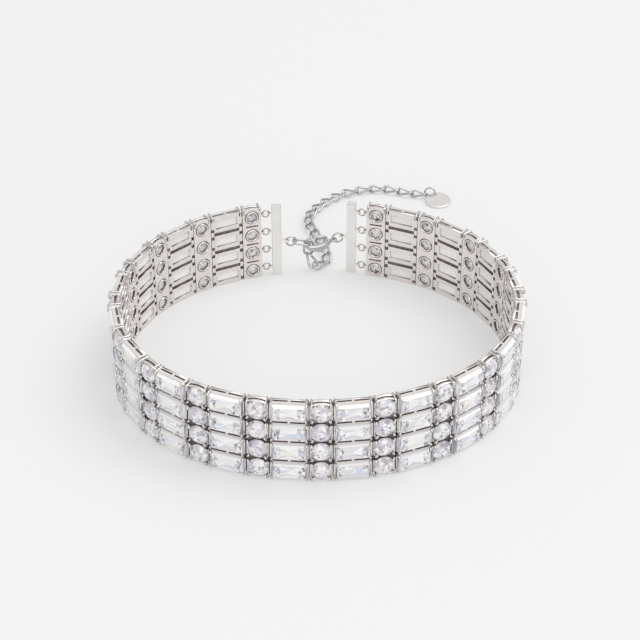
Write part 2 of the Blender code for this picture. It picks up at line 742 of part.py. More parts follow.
def disc_mesh():
    """Plain round disc in the XY plane, with a small hole near its rim on the +X side."""
    radius = DISC_DIAMETER / 2
    hole = radius - DISC_RIM - DISC_HOLE / 2
    rim = [(radius * math.cos(a), radius * math.sin(a)) for a in (2 * math.pi * k / 24 for k in range(24))]
    opening = [(hole + DISC_HOLE / 2 * math.cos(a), DISC_HOLE / 2 * math.sin(a))
               for a in (2 * math.pi * k / 8 for k in range(8))]
    return flat_plate("end_disc", [rim, opening], DISC_THICKNESS)


def build_chain_end(necklace, last, direction):
    """Adds the end ring, which leans back in the last link, and the disc that lies against it."""
    inside = END_RING_RADIUS - (END_RING_WIRE + LINK_WIRE) / 2 - RUNNING_GAP
    level = Vector((direction.x, direction.y, 0.0)).normalized()
    ring_up = UP * math.cos(END_RING_LEAN) + UP.cross(level) * math.sin(END_RING_LEAN)
    lean = Matrix.Rotation(-END_RING_LEAN, 4, "X")
    floor_height = END_RING_RADIUS * math.cos(END_RING_LEAN) + END_RING_WIRE / 2
    link_end = last + direction * ((LINK_LENGTH - LINK_WIRE) - LINK_PITCH) / 2
    centre = Vector((link_end.x, link_end.y, 0.0)) + level * inside + UP * floor_height
    necklace.add("end_ring", ring_mesh("end_ring", END_RING_RADIUS, END_RING_WIRE), standing(centre, level) @ lean)
    hole_point = centre + END_RING_RADIUS * (level * math.cos(END_RING_TURN) - ring_up * math.sin(END_RING_TURN))
    hole_reach = DISC_DIAMETER / 2 - DISC_RIM - DISC_HOLE / 2
    tilt = math.asin((hole_point.z - DISC_THICKNESS / 2) / (hole_reach + DISC_DIAMETER / 2))
    away = Vector((math.cos(DISC_HEADING), math.sin(DISC_HEADING), 0.0))
    down = away * math.cos(tilt) - UP * math.sin(tilt)
    x_axis = -down
    y_axis = UP.cross(x_axis).normalized()
    turn = Matrix((x_axis, y_axis, x_axis.cross(y_axis))).transposed().to_4x4()
    necklace.add("end_disc", disc_mesh(), Matrix.Translation(hole_point + down * hole_reach) @ turn)


def stand_at_origin(necklace):
    """Moves the frame so that the necklace's box is centred over the origin and stands on the floor."""
    bpy.context.view_layer.update()
    points = [item.matrix_world @ vertex.co
              for item in necklace.collection.objects if item.type == "MESH" for vertex in item.data.vertices]
    low = Vector(tuple(min(point[axis] for point in points) for axis in range(3)))
    high = Vector(tuple(max(point[axis] for point in points) for axis in range(3)))
    necklace.frame.location = (-(low.x + high.x) / 2, -(low.y + high.y) / 2, -low.z)
    bpy.context.view_layer.update()


def main():
    """Builds the necklace."""
    clear_scene()
    make_collection("workshop", hidden=True)
    necklace = Necklace()
    line = build_band(necklace)
    right_loop = build_end(necklace, 1, "right", line[1], line[0], RIGHT_BAR_TURN)
    left_loop = build_end(necklace, -1, "left", line[-2], line[-1], LEFT_BAR_TURN)
    left_ring, seat = build_closure(necklace, left_loop, right_loop)
    last, direction = build_chain(necklace, left_ring, seat)
    build_chain_end(necklace, last, direction)
    stand_at_origin(necklace)
    for item in list(bpy.data.collections["workshop"].objects):
        bpy.data.objects.remove(item)


main()
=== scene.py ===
"""Looks of a choker necklace: stone-set panels, end bars, clasp and extension chain, on a light table.

Sizes are in millimetres in the band's own plan, whose origin is the middle of the neck opening on
the table. Each finished mesh is turned to metres and moved to the row frame as its last step.
"""

import logging
import math
import random
from dataclasses import dataclass, field
from enum import Enum, IntEnum
from typing import Callable, Sequence

import bmesh
import bpy
from mathutils import Matrix, Vector


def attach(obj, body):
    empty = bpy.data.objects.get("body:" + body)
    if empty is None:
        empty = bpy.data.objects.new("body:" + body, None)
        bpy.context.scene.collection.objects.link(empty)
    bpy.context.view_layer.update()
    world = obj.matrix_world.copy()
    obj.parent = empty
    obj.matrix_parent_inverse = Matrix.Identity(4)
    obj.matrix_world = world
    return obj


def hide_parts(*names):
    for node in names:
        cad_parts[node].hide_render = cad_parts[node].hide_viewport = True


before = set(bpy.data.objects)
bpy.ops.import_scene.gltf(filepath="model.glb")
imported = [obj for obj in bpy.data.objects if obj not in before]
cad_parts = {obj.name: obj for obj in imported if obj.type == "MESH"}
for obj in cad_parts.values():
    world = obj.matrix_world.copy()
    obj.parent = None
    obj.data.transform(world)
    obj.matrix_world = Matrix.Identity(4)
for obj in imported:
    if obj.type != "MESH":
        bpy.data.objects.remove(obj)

LOG = logging.getLogger("choker")
BODY = "root"
LEVER_BODY = "lever"
MM = 0.001
PLAN_SHIFT = Vector((0.0, -24.721, 0.0))
TO_ROW = Matrix.Scale(MM, 4) @ Matrix.Translation(PLAN_SHIFT)
SIDEWAYS = Vector((1.0, 0.0, 0.0))
OUTWARD = Vector((0.0, 1.0, 0.0))
UP = Vector((0.0, 0.0, 1.0))
UNMOVED = Matrix.Identity(4)
STANDING = Matrix.Rotation(math.pi / 2, 4, "X")
LYING = Matrix.Rotation(-math.pi / 2, 4, "X")
WHITE_LIGHT = "#FFFFFF"
# Usual rounding of a small edge.
EDGE = 0.06
# Distance within which two points are one.
TOUCHING = 0.0005
# Height of the domed end of a wire, as a part of its half-thickness.
DOME = 0.6

Part = tuple[bpy.types.Mesh, Matrix, int | None]
Plan = list[tuple[float, float]]


class Slot(IntEnum):
    """Number of each finish on a panel. Plain pieces have the first one only."""

    METAL = 0
    CRYSTAL = 1
    # Dark metal that paints the shade in slots, cores and between panels.
    RECESS = 2
    # Slightly darker copy of the plate, painted shade, for claws and edge wires.
    CLAWS = 3


def linear(code: str) -> tuple[float, float, float, float]:
    """Turns an sRGB hex colour into the linear colour that the shaders work in.

    Args:
        code: Six hex digits after a hash sign.

    Returns:
        Red, green, blue and an alpha of one.
    """
    parts = [int(code[place:place + 2], 16) / 255 for place in (1, 3, 5)]
    red, green, blue = (part / 12.92 if part <= 0.04045 else ((part + 0.055) / 1.055) ** 2.4
                        for part in parts)
    return red, green, blue, 1.0


def node(tree: bpy.types.NodeTree, kind: str, links: dict | None = None, values: dict | None = None,
         **settings: object) -> bpy.types.Node:
    """Adds one node to a tree, with its settings, socket values and incoming links.

    Args:
        tree: Tree that the node goes into.
        kind: Type name of the node.
        links: Output sockets by the name or number of the input that each one feeds.
        values: Values by the name or number of the input that each one sets.
        settings: Properties of the node itself.

    Returns:
        The new node.
    """
    made = tree.nodes.new(kind)
    for name, value in settings.items():
        setattr(made, name, value)
    for name, value in (values or {}).items():
        made.inputs[name].default_value = value
    for name, source in (links or {}).items():
        tree.links.new(source, made.inputs[name])
    return made


def shaded(name: str, values: dict[str, object]) -> tuple[bpy.types.Material, bpy.types.Node]:
    """Starts a material and sets its shader's own sockets.

    Args:
        name: Name of the material.
        values: Values by the name of the shader's input that each one sets.

    Returns:
        The material and its shader.
    """
    made = bpy.data.materials.new(name)
    made.use_nodes = True
    shader = made.node_tree.nodes["Principled BSDF"]
    for socket, value in values.items():
        shader.inputs[socket].default_value = value
    return made, shader


# Finishes


@dataclass(frozen=True)
class PlatedMetal:
    """Rhodium plate over cast alloy: a bright grey mirror with faint haze and fine polishing lines."""

    name: str
    light: str = "#F3EEEB"
    deep: str = "#DED8D5"
    roughness: float = 0.13
    haze: float = 0.10
    haze_size_mm: float = 1.6
    line_size_mm: float = 0.12
    line_depth: float = 0.10

    def material(self) -> bpy.types.Material:
        """Builds the plated metal, whose roughness and colour vary with its haze.

        Returns:
            The material.
        """
        made, shader = shaded(self.name, {"Metallic": 1.0})
        tree = made.node_tree
        place = node(tree, "ShaderNodeTexCoord").outputs["Object"]
        haze = node(tree, "ShaderNodeTexNoise", {"Vector": place},
                    {"Scale": 1 / (self.haze_size_mm * MM), "Detail": 3.0, "Roughness": 0.6}).outputs["Fac"]
        lines = node(tree, "ShaderNodeTexNoise", {"Vector": place},
                     {"Scale": 1 / (self.line_size_mm * MM), "Detail": 2.0,
                      "Distortion": 1.5}).outputs["Fac"]
        # Inputs 6 and 7 of this node are its two colours, and output 2 is the mixed one.
        tint = node(tree, "ShaderNodeMix", {"Factor": haze},
                    {6: linear(self.light), 7: linear(self.deep)}, data_type="RGBA").outputs[2]
        rough = node(tree, "ShaderNodeMapRange", {"Value": haze},
                     {"From Min": 0.3, "From Max": 0.7, "To Min": self.roughness,
                      "To Max": self.roughness + self.haze}).outputs["Result"]
        bump = node(tree, "ShaderNodeBump", {"Height": lines},
                    {"Strength": self.line_depth, "Distance": 0.02 * MM}).outputs["Normal"]
        for socket, source in (("Base Color", tint), ("Roughness", rough), ("Normal", bump)):
            tree.links.new(source, shader.inputs[socket])
        return made


@dataclass(frozen=True)
class PaintedShadeRecess:
    """Dark metal at the bottom of slots and between settings, whose darkness is painted shade: dull and
    slightly grainy.
    """

    name: str = "painted_shade_recess"
    # Colours of the painted shade in the recesses.
    light: str = "#A39D9B"
    deep: str = "#6A6563"
    roughness: float = 0.5
    grain_mm: float = 0.5
    grain_depth_mm: float = 0.05

    def material(self) -> bpy.types.Material:
        """Builds the dark metal of painted shade, whose grain changes its colour and its surface.

        Returns:
            The material.
        """
        made, shader = shaded(self.name, {"Metallic": 1.0, "Roughness": self.roughness})
        tree = made.node_tree
        place = node(tree, "ShaderNodeTexCoord").outputs["Object"]
        grain = node(tree, "ShaderNodeTexNoise", {"Vector": place},
                     {"Scale": 1 / (self.grain_mm * MM), "Detail": 3.0}).outputs["Fac"]
        colour = node(tree, "ShaderNodeValToRGB", {"Fac": grain})
        for entry, position, code in zip(colour.color_ramp.elements, (0.35, 0.7), (self.deep, self.light)):
            entry.position = position
            entry.color = linear(code)
        bump = node(tree, "ShaderNodeBump", {"Height": grain},
                    {"Strength": 0.3, "Distance": self.grain_depth_mm * MM})
        tree.links.new(colour.outputs["Color"], shader.inputs["Base Color"])
        tree.links.new(bump.outputs["Normal"], shader.inputs["Normal"])
        return made


@dataclass(frozen=True)
class CutCrystal:
    """Clear crystal cut into flat facets, each with a painted reflection, the light or grey that its
    pavilion would throw back, and a faint painted glow.
    """

    name: str
    roughness: float = 0.03
    ior: float = 1.75
    clearness: float = 0.12
    # Strength of the painted glow: the crystal shines a little in its tones though it is no lamp.
    painted_glow: float = 0.03

    def material(self) -> bpy.types.Material:
        """Builds the crystal, which takes each facet's painted reflection from the mesh as its colour and
        its glow.

        Returns:
            The material.
        """
        made, shader = shaded(self.name, {"Roughness": self.roughness, "IOR": self.ior,
                                          "Transmission Weight": self.clearness,
                                          "Emission Strength": self.painted_glow})
        tree = made.node_tree
        # Each facet's tone is a painted reflection, fed to the colour and to the painted glow.
        tone = node(tree, "ShaderNodeAttribute", attribute_name="tone").outputs["Color"]
        for socket in ("Base Color", "Emission Color"):
            tree.links.new(tone, shader.inputs[socket])
        return made


@dataclass(frozen=True)
class LightTable:
    """Matt white top of a light table, barely uneven and lit a little from below, so shadows stay weak."""

    name: str = "light_table_top"
    colour: str = "#B3B3B3"
    shade: str = "#B1B1B1"
    glow: float = 0.365
    fibre_mm: float = 2.0

    def material(self) -> bpy.types.Material:
        """Builds the table top.

        Returns:
            The material.
        """
        made, shader = shaded(self.name, {"Roughness": 0.9, "Specular IOR Level": 0.1,
                                          "Emission Color": linear(WHITE_LIGHT),
                                          "Emission Strength": self.glow})
        tree = made.node_tree
        place = node(tree, "ShaderNodeTexCoord").outputs["Object"]
        fibre = node(tree, "ShaderNodeTexNoise", {"Vector": place},
                     {"Scale": 1 / (self.fibre_mm * MM), "Detail": 2.0}).outputs["Fac"]
        colour = node(tree, "ShaderNodeValToRGB", {"Fac": fibre})
        for entry, code in zip(colour.color_ramp.elements, (self.shade, self.colour)):
            entry.color = linear(code)
        tree.links.new(colour.outputs["Color"], shader.inputs["Base Color"])
        return made


# Meshes


def mesh_from(shape: bmesh.types.BMesh, name: str) -> bpy.types.Mesh:
    """Turns a bmesh into a mesh and frees it.

    Args:
        shape: Shape to turn into a mesh.
        name: Name of the mesh.

    Returns:
        The mesh.
    """
    mesh = bpy.data.meshes.new(name)
    shape.to_mesh(mesh)
    shape.free()
    return mesh


def moved(mesh: bpy.types.Mesh, matrix: Matrix) -> bpy.types.Mesh:
    """Moves a mesh by a matrix and returns it."""
    mesh.transform(matrix)
    return mesh


def in_place(mesh: bpy.types.Mesh, slot: int = Slot.METAL) -> Part:
    """Part that stays where its mesh was made."""
    return mesh, UNMOVED, slot


def joined(name: str, parts: Sequence[Part]) -> bpy.types.Mesh:
    """Joins meshes into one.

    Args:
        name: Name of the new mesh.
        parts: Each mesh with its place and the number of its material slot, or None to keep its own slots.

    Returns:
        The joined mesh, which keeps the facets' tones and the smooth faces.
    """
    shape = bmesh.new()
    shape.loops.layers.float_color.new("tone")
    for mesh, matrix, slot in parts:
        first_face, first_vertex = len(shape.faces), len(shape.verts)
        shape.from_mesh(mesh)
        shape.verts.ensure_lookup_table()
        shape.faces.ensure_lookup_table()
        bmesh.ops.transform(shape, matrix=matrix, verts=shape.verts[first_vertex:])
        for face in shape.faces[first_face:]:
            face.material_index = face.material_index if slot is None else slot
    return mesh_from(shape, name)


def rounded_box(low: Sequence[float], high: Sequence[float], edge: float,
                segments: int = 1) -> bpy.types.Mesh:
    """Box between two corners with rounded edges.

    Args:
        low: Lowest corner.
        high: Highest corner.
        edge: Width of the rounding.
        segments: Number of faces across each rounded edge.

    Returns:
        The box.
    """
    shape = bmesh.new()
    bmesh.ops.create_cube(shape, size=1.0)
    start, end = Vector(low), Vector(high)
    size = Matrix.Diagonal((*(end - start), 1.0))
    bmesh.ops.transform(shape, matrix=Matrix.Translation((start + end) / 2) @ size, verts=shape.verts)
    bmesh.ops.bevel(shape, geom=list(shape.edges), offset=edge, segments=segments, affect="EDGES",
                    profile=0.5)
    return mesh_from(shape, "rounded_box")


def swept(stations: Sequence[tuple[Vector, float, float]], across: Vector, sides: int) -> bpy.types.Mesh:
    """Closed tube through stations, with domed ends and smooth faces.

    Args:
        stations: Centre, half-thickness in the tube's plane and half-thickness across it.
        across: Direction across the plane that the tube bends in.
        sides: Number of sides.

    Returns:
        The tube.
    """
    shape = bmesh.new()
    rings = []
    centres = [station[0] for station in stations]
    for index, (centre, wide, thick) in enumerate(stations):
        before = centres[max(index - 1, 0)]
        after = centres[min(index + 1, len(centres) - 1)]
        along = (after - before).normalized()
        inward = across.cross(along).normalized()
        ring = []
        for side in range(sides):
            angle = 2 * math.pi * side / sides
            offset = inward * (wide * math.cos(angle)) + across * (thick * math.sin(angle))
            ring.append(shape.verts.new(centre + offset))
        rings.append(ring)
    for ring, following in zip(rings, rings[1:]):
        for side in range(sides):
            other = (side + 1) % sides
            shape.faces.new((ring[side], ring[other], following[other], following[side]))
    for ring, centre, neighbour, reach in ((rings[0], centres[0], centres[1], stations[0][1]),
                                           (rings[-1], centres[-1], centres[-2], stations[-1][1])):
        tip = shape.verts.new(centre + (centre - neighbour).normalized() * reach * DOME)
        for side in range(sides):
            shape.faces.new((ring[side], ring[(side + 1) % sides], tip))
    bmesh.ops.recalc_face_normals(shape, faces=shape.faces)
    for face in shape.faces:
        face.smooth = True
    return mesh_from(shape, "swept")


def smooth_line(points: Sequence[Vector], steps: int) -> list[Vector]:
    """Points of a smooth curve through given points.

    Args:
        points: Points that the curve passes through.
        steps: Number of steps between two of them.

    Returns:
        The curve's points.
    """
    padded = [2 * points[0] - points[1], *points, 2 * points[-1] - points[-2]]
    curve = []
    for a, b, c, d in zip(padded, padded[1:], padded[2:], padded[3:]):
        for step in range(steps):
            t = step / steps
            curve.append(0.5 * (2 * b + (c - a) * t + (2 * a - 5 * b + 4 * c - d) * t ** 2
                                + (3 * b - a - 3 * c + d) * t ** 3))
    curve.append(points[-1])
    return curve


def flat_plate(outlines: Sequence[Plan], thickness: float, edge: float) -> bpy.types.Mesh:
    """Plate in the XY plane with rounded edges, centred in Z.

    Args:
        outlines: The outline, and then the outline of each hole.
        thickness: Thickness of the plate.
        edge: Rounding of its edges.

    Returns:
        The plate.
    """
    curve = bpy.data.curves.new("plate", "CURVE")
    curve.dimensions = "2D"
    curve.fill_mode = "BOTH"
    curve.extrude = thickness / 2 - edge
    curve.bevel_depth = edge
    curve.bevel_resolution = 1
    curve.offset = -edge
    for outline in outlines:
        spline = curve.splines.new("POLY")
        spline.points.add(len(outline) - 1)
        for point, (x, y) in zip(spline.points, outline):
            point.co = (x, y, 0.0, 1.0)
        spline.use_cyclic_u = True
    item = bpy.data.objects.new("plate", curve)
    bpy.context.scene.collection.objects.link(item)
    mesh = evaluated(item)
    bpy.data.objects.remove(item)
    shape = bmesh.new()
    shape.from_mesh(mesh)
    bmesh.ops.remove_doubles(shape, verts=shape.verts, dist=TOUCHING)
    bmesh.ops.recalc_face_normals(shape, faces=shape.faces)
    return mesh_from(shape, "plate")


def evaluated(item: bpy.types.Object) -> bpy.types.Mesh:
    """Plain mesh of an object with its modifiers applied."""
    graph = bpy.context.evaluated_depsgraph_get()
    return bpy.data.meshes.new_from_object(item.evaluated_get(graph))


def circle(radius: float, count: int, centre: tuple[float, float] = (0.0, 0.0),
           turn: float = 0.0) -> Plan:
    """Points of a circle in a plane.

    Args:
        radius: Radius of the circle.
        count: Number of points.
        centre: Centre of the circle.
        turn: Angle of the first point.

    Returns:
        The points, anticlockwise.
    """
    angles = [turn + 2 * math.pi * step / count for step in range(count)]
    return [(centre[0] + radius * math.cos(angle), centre[1] + radius * math.sin(angle))
            for angle in angles]


def rectangle(width: float, height: float, middle: float) -> Plan:
    """Corners of a rectangle centred on the second axis, at a height."""
    x, z = width / 2, height / 2
    return [(-x, middle - z), (x, middle - z), (x, middle + z), (-x, middle + z)]


def facing(centre: Vector, x_axis: Vector, y_hint: Vector) -> Matrix:
    """Matrix of a place from its centre, its X direction and a hint for its Y direction.

    Args:
        centre: Centre of the place.
        x_axis: Direction of its X.
        y_hint: Direction near its Y.

    Returns:
        The matrix.
    """
    across = x_axis.normalized()
    normal = across.cross(y_hint).normalized()
    turn = Matrix((across, normal.cross(across), normal)).transposed().to_4x4()
    return Matrix.Translation(centre) @ turn


def to_side(side: int, point: Vector) -> Matrix:
    """Place at a point, with its X to the right for side 1 and to the left for side -1."""
    return Matrix.Translation(point) @ Matrix.Rotation(0.0 if side > 0 else math.pi, 4, "Z")


def standing_plate(outlines: Sequence[Plan], near: float, thickness: float, edge: float,
                   slot: int = Slot.METAL) -> Part:
    """Plate that stands in the XZ plane.

    Args:
        outlines: The outline, and then the outline of each hole.
        near: Depth of its inner face.
        thickness: Thickness of the plate.
        edge: Rounding of its edges.
        slot: Number of its finish.

    Returns:
        The plate at its place.
    """
    place = Matrix.Translation(OUTWARD * (near + thickness / 2)) @ STANDING
    return flat_plate(outlines, thickness, edge), place, slot


def cylinder(name: str, radius: float, length: float, sides: int) -> bpy.types.Mesh:
    """Closed cylinder along Y.

    Args:
        name: Name of the mesh.
        radius: Radius of the cylinder.
        length: Length of the cylinder.
        sides: Number of sides.

    Returns:
        The cylinder, centred on the origin.
    """
    shape = bmesh.new()
    bmesh.ops.create_cone(shape, cap_ends=True, segments=sides, radius1=radius, radius2=radius,
                          depth=length)
    bmesh.ops.transform(shape, matrix=LYING, verts=shape.verts)
    return mesh_from(shape, name)


def turning_point(low: float, high: float, too_low: Callable[[float], bool]) -> float:
    """Finds the value between two limits where a test changes from true to false.

    Args:
        low: Limit where the test is true.
        high: Limit where the test is false.
        too_low: The test.

    Returns:
        The value.
    """
    for _ in range(50):
        middle = (low + high) / 2
        low, high = (middle, high) if too_low(middle) else (low, middle)
    return (low + high) / 2


# Geometry Nodes


class PointTree:
    """Geometry Nodes tree that sets one shape at each point, turned by the point's own angles."""

    def __init__(self, name: str, sizes: dict[str, str]) -> None:
        """Starts the tree with its named inputs.

        Args:
            name: Name of the tree.
            sizes: Kind of socket by the name of each input of its own.
        """
        self.tree = bpy.data.node_groups.new(name, "GeometryNodeTree")
        self.tree.is_modifier = True
        inputs = {"Geometry": "NodeSocketGeometry", **sizes, "Finish": "NodeSocketMaterial"}
        for word, kind in inputs.items():
            self.tree.interface.new_socket(word, in_out="INPUT", socket_type=kind)
        self.tree.interface.new_socket("Geometry", in_out="OUTPUT", socket_type="NodeSocketGeometry")
        self.given = node(self.tree, "NodeGroupInput").outputs

    def close(self, links: dict[str, bpy.types.NodeSocket]) -> None:
        """Ends the tree: sets the shape at the points, makes it real and gives it its finish.

        Args:
            links: Output sockets of the shape, and of its scale where it has one.
        """
        turn = node(self.tree, "GeometryNodeInputNamedAttribute", values={"Name": "turn"},
                    data_type="FLOAT_VECTOR")
        copies = node(self.tree, "GeometryNodeInstanceOnPoints",
                      {"Points": self.given["Geometry"], "Rotation": turn.outputs[0], **links})
        real = node(self.tree, "GeometryNodeRealizeInstances", {"Geometry": copies.outputs[0]})
        dressed = node(self.tree, "GeometryNodeSetMaterial",
                       {"Geometry": real.outputs[0], "Material": self.given["Finish"]})
        node(self.tree, "NodeGroupOutput", {"Geometry": dressed.outputs[0]})

    def grown(self, places: Sequence[Matrix], inputs: dict[str, object]) -> bpy.types.Mesh:
        """Runs the tree on a cloud of points.

        Args:
            places: Matrix of each point.
            inputs: Values of the tree's named inputs.

        Returns:
            The plain mesh that the tree makes.
        """
        cloud = bpy.data.meshes.new("places")
        cloud.from_pydata([tuple(place.translation) for place in places], [], [])
        turns = cloud.attributes.new("turn", "FLOAT_VECTOR", "POINT")
        for entry, place in zip(turns.data, places):
            entry.vector = tuple(place.to_euler("XYZ"))
        item = bpy.data.objects.new("grown", cloud)
        bpy.context.scene.collection.objects.link(item)
        modifier = item.modifiers.new("grown", "NODES")
        modifier.node_group = self.tree
        sockets = {entry.name: entry.identifier for entry in self.tree.interface.items_tree
                   if entry.item_type == "SOCKET" and entry.in_out == "INPUT"}
        for name, value in inputs.items():
            modifier[sockets[name]] = value
        mesh = evaluated(item)
        item.modifiers.clear()
        bpy.data.objects.remove(item)
        return mesh


class WireTree(PointTree):
    """Tree that sets closed wire links."""

    def __init__(self) -> None:
        """Builds the tree, with the link's length, width, wire and twist as named inputs."""
        sizes = ("Length", "Width", "Wire", "Twist")
        super().__init__("wire_links", dict.fromkeys(sizes, "NodeSocketFloat"))
        tree, given = self.tree, self.given
        length, width = (node(tree, "ShaderNodeMath", {0: given[name], 1: given["Wire"]},
                              operation="SUBTRACT").outputs[0] for name in ("Length", "Width"))
        # Corners of nearly half the width make round ends without a doubled point.
        bend = node(tree, "ShaderNodeMath", {0: width}, {1: 0.4999}, operation="MULTIPLY")
        wire = node(tree, "ShaderNodeMath", {0: given["Wire"]}, {1: 0.5}, operation="MULTIPLY")
        path = node(tree, "GeometryNodeCurvePrimitiveQuadrilateral", {"Width": length, "Height": width})
        fillet = node(tree, "GeometryNodeFilletCurve", {"Curve": path.outputs[0], "Radius": bend.outputs[0]},
                      {"Count": 7}, mode="POLY")
        profile = node(tree, "GeometryNodeCurvePrimitiveCircle", {"Radius": wire.outputs[0]},
                       {"Resolution": 10})
        link = node(tree, "GeometryNodeCurveToMesh",
                    {"Curve": fillet.outputs[0], "Profile Curve": profile.outputs[0]})
        place = node(tree, "GeometryNodeInputPosition").outputs[0]
        along = node(tree, "ShaderNodeSeparateXYZ", {0: place}).outputs["X"]
        share = node(tree, "ShaderNodeMath", {0: along, 1: length}, operation="DIVIDE")
        angle = node(tree, "ShaderNodeMath", {0: share.outputs[0], 1: given["Twist"]}, operation="MULTIPLY")
        twisted = node(tree, "ShaderNodeVectorRotate", {"Vector": place, "Angle": angle.outputs[0]},
                       rotation_type="X_AXIS")
        bent = node(tree, "GeometryNodeSetPosition",
                    {"Geometry": link.outputs[0], "Position": twisted.outputs[0]})
        smooth = node(tree, "GeometryNodeSetShadeSmooth", {"Geometry": bent.outputs[0]})
        self.close({"Instance": smooth.outputs[0]})

    def links(self, places: Sequence[Matrix], length: float, width: float, wire: float,
              finish: bpy.types.Material, twist: float = 0.0) -> bpy.types.Mesh:
        """Sets links at places.

        Args:
            places: Matrix of each link, whose X runs along it and whose Z stands on its plane.
            length: Outer length of a link.
            width: Outer width of a link.
            wire: Thickness of the wire.
            finish: Material of the wire.
            twist: Angle between the two ends of a link, about its length.

        Returns:
            One mesh of all the links.
        """
        return self.grown(places, {"Length": length, "Width": width, "Wire": wire, "Twist": twist,
                                   "Finish": finish})


class ClawTree(PointTree):
    """Tree that sets claws."""

    def __init__(self) -> None:
        """Builds the tree, with the claw and its size as named inputs."""
        super().__init__("claws", {"Claw": "NodeSocketObject", "Size": "NodeSocketFloat"})
        claw = node(self.tree, "GeometryNodeObjectInfo", {"Object": self.given["Claw"]})
        self.close({"Instance": claw.outputs["Geometry"], "Scale": self.given["Size"]})

    def claws(self, places: Sequence[Matrix], claw: bpy.types.Mesh, finish: bpy.types.Material,
              size: float = 1.0) -> bpy.types.Mesh:
        """Sets claws at places.

        Args:
            places: Matrix of each claw, whose Z points out of the panel and whose X points at the stone.
            claw: Mesh of one claw.
            finish: Material of the claws.
            size: Scale of the claws.

        Returns:
            One mesh of all the claws.
        """
        source = bpy.data.objects.new("claw_source", claw)
        bpy.context.scene.collection.objects.link(source)
        mesh = self.grown(places, {"Claw": source, "Size": size, "Finish": finish})
        bpy.data.objects.remove(source)
        return mesh


@dataclass
class Trees:
    """The trees that all the makers share."""

    wires: WireTree = field(default_factory=WireTree)
    claws: ClawTree = field(default_factory=ClawTree)


# Stones


class Tone(Enum):
    """Painted reflections of a facet, standing for what it throws back: white light, greys of several
    depths, and weak colours.
    """

    WHITE = "#FCFBFB"
    FROST = "#F3F2F3"
    PALE = "#E3E1E4"
    LIGHT = "#D5D3D8"
    MIDDLE = "#B5B3B9"
    DEEP = "#8B898F"
    LILAC = "#D2CFDB"
    WARM = "#F5F0E0"
    SKY = "#D2E0F4"


# Groups of painted reflections that each kind of facet draws from.
CLEAR = (Tone.WHITE,) * 5 + (Tone.FROST,) * 6 + (Tone.PALE,) * 2 + (Tone.SKY, Tone.WARM)
BRIGHT = (Tone.WHITE, Tone.FROST, Tone.PALE, Tone.LILAC)
SOFT = (Tone.WHITE, Tone.FROST, Tone.PALE, Tone.LIGHT, Tone.LILAC, Tone.MIDDLE)
MIXED = (Tone.WHITE, Tone.FROST, Tone.PALE, Tone.LIGHT, Tone.MIDDLE, Tone.LILAC)
GREY = (Tone.PALE, Tone.LIGHT, Tone.MIDDLE, Tone.DEEP, Tone.LILAC, Tone.WHITE, Tone.FROST)


@dataclass
class FacetMesh:
    """Gathers flat facets, each with a group of tones that its own tone is drawn from."""

    points: list[Vector] = field(default_factory=list)
    facets: list[tuple[tuple[int, ...], tuple[Tone, ...]]] = field(default_factory=list)

    def add(self, *points: Vector) -> list[int]:
        """Adds points.

        Args:
            points: The points to add.

        Returns:
            Their numbers.
        """
        first = len(self.points)
        self.points.extend(points)
        return list(range(first, len(self.points)))

    def facet(self, corners: Sequence[int], tones: tuple[Tone, ...]) -> None:
        """Adds one facet."""
        self.facets.append((tuple(corners), tones))

    def mesh(self, chance: random.Random) -> bpy.types.Mesh:
        """Builds the mesh and draws each facet's tone.

        Args:
            chance: Seeded source of chance.

        Returns:
            The stone, with its facets facing out.
        """
        shape = bmesh.new()
        layer = shape.loops.layers.float_color.new("tone")
        verts = [shape.verts.new(point) for point in self.points]
        middle = sum(self.points, Vector()) / len(self.points)
        for corners, tones in self.facets:
            face = shape.faces.new([verts[corner] for corner in corners])
            face.normal_update()
            if face.normal.dot(face.calc_center_median() - middle) < 0:
                face.normal_flip()
            # The tone drawn for each facet is its painted reflection.
            colour = linear(chance.choice(tones).value)
            for loop in face.loops:
                loop[layer] = colour
        return mesh_from(shape, "stone")


def ring_points(radius: float, count: int, depth: float, turn: float = 0.0) -> list[Vector]:
    """Points of a circle in the XZ plane at a depth along Y."""
    return [Vector((x, depth, z)) for x, z in circle(radius, count, turn=turn)]


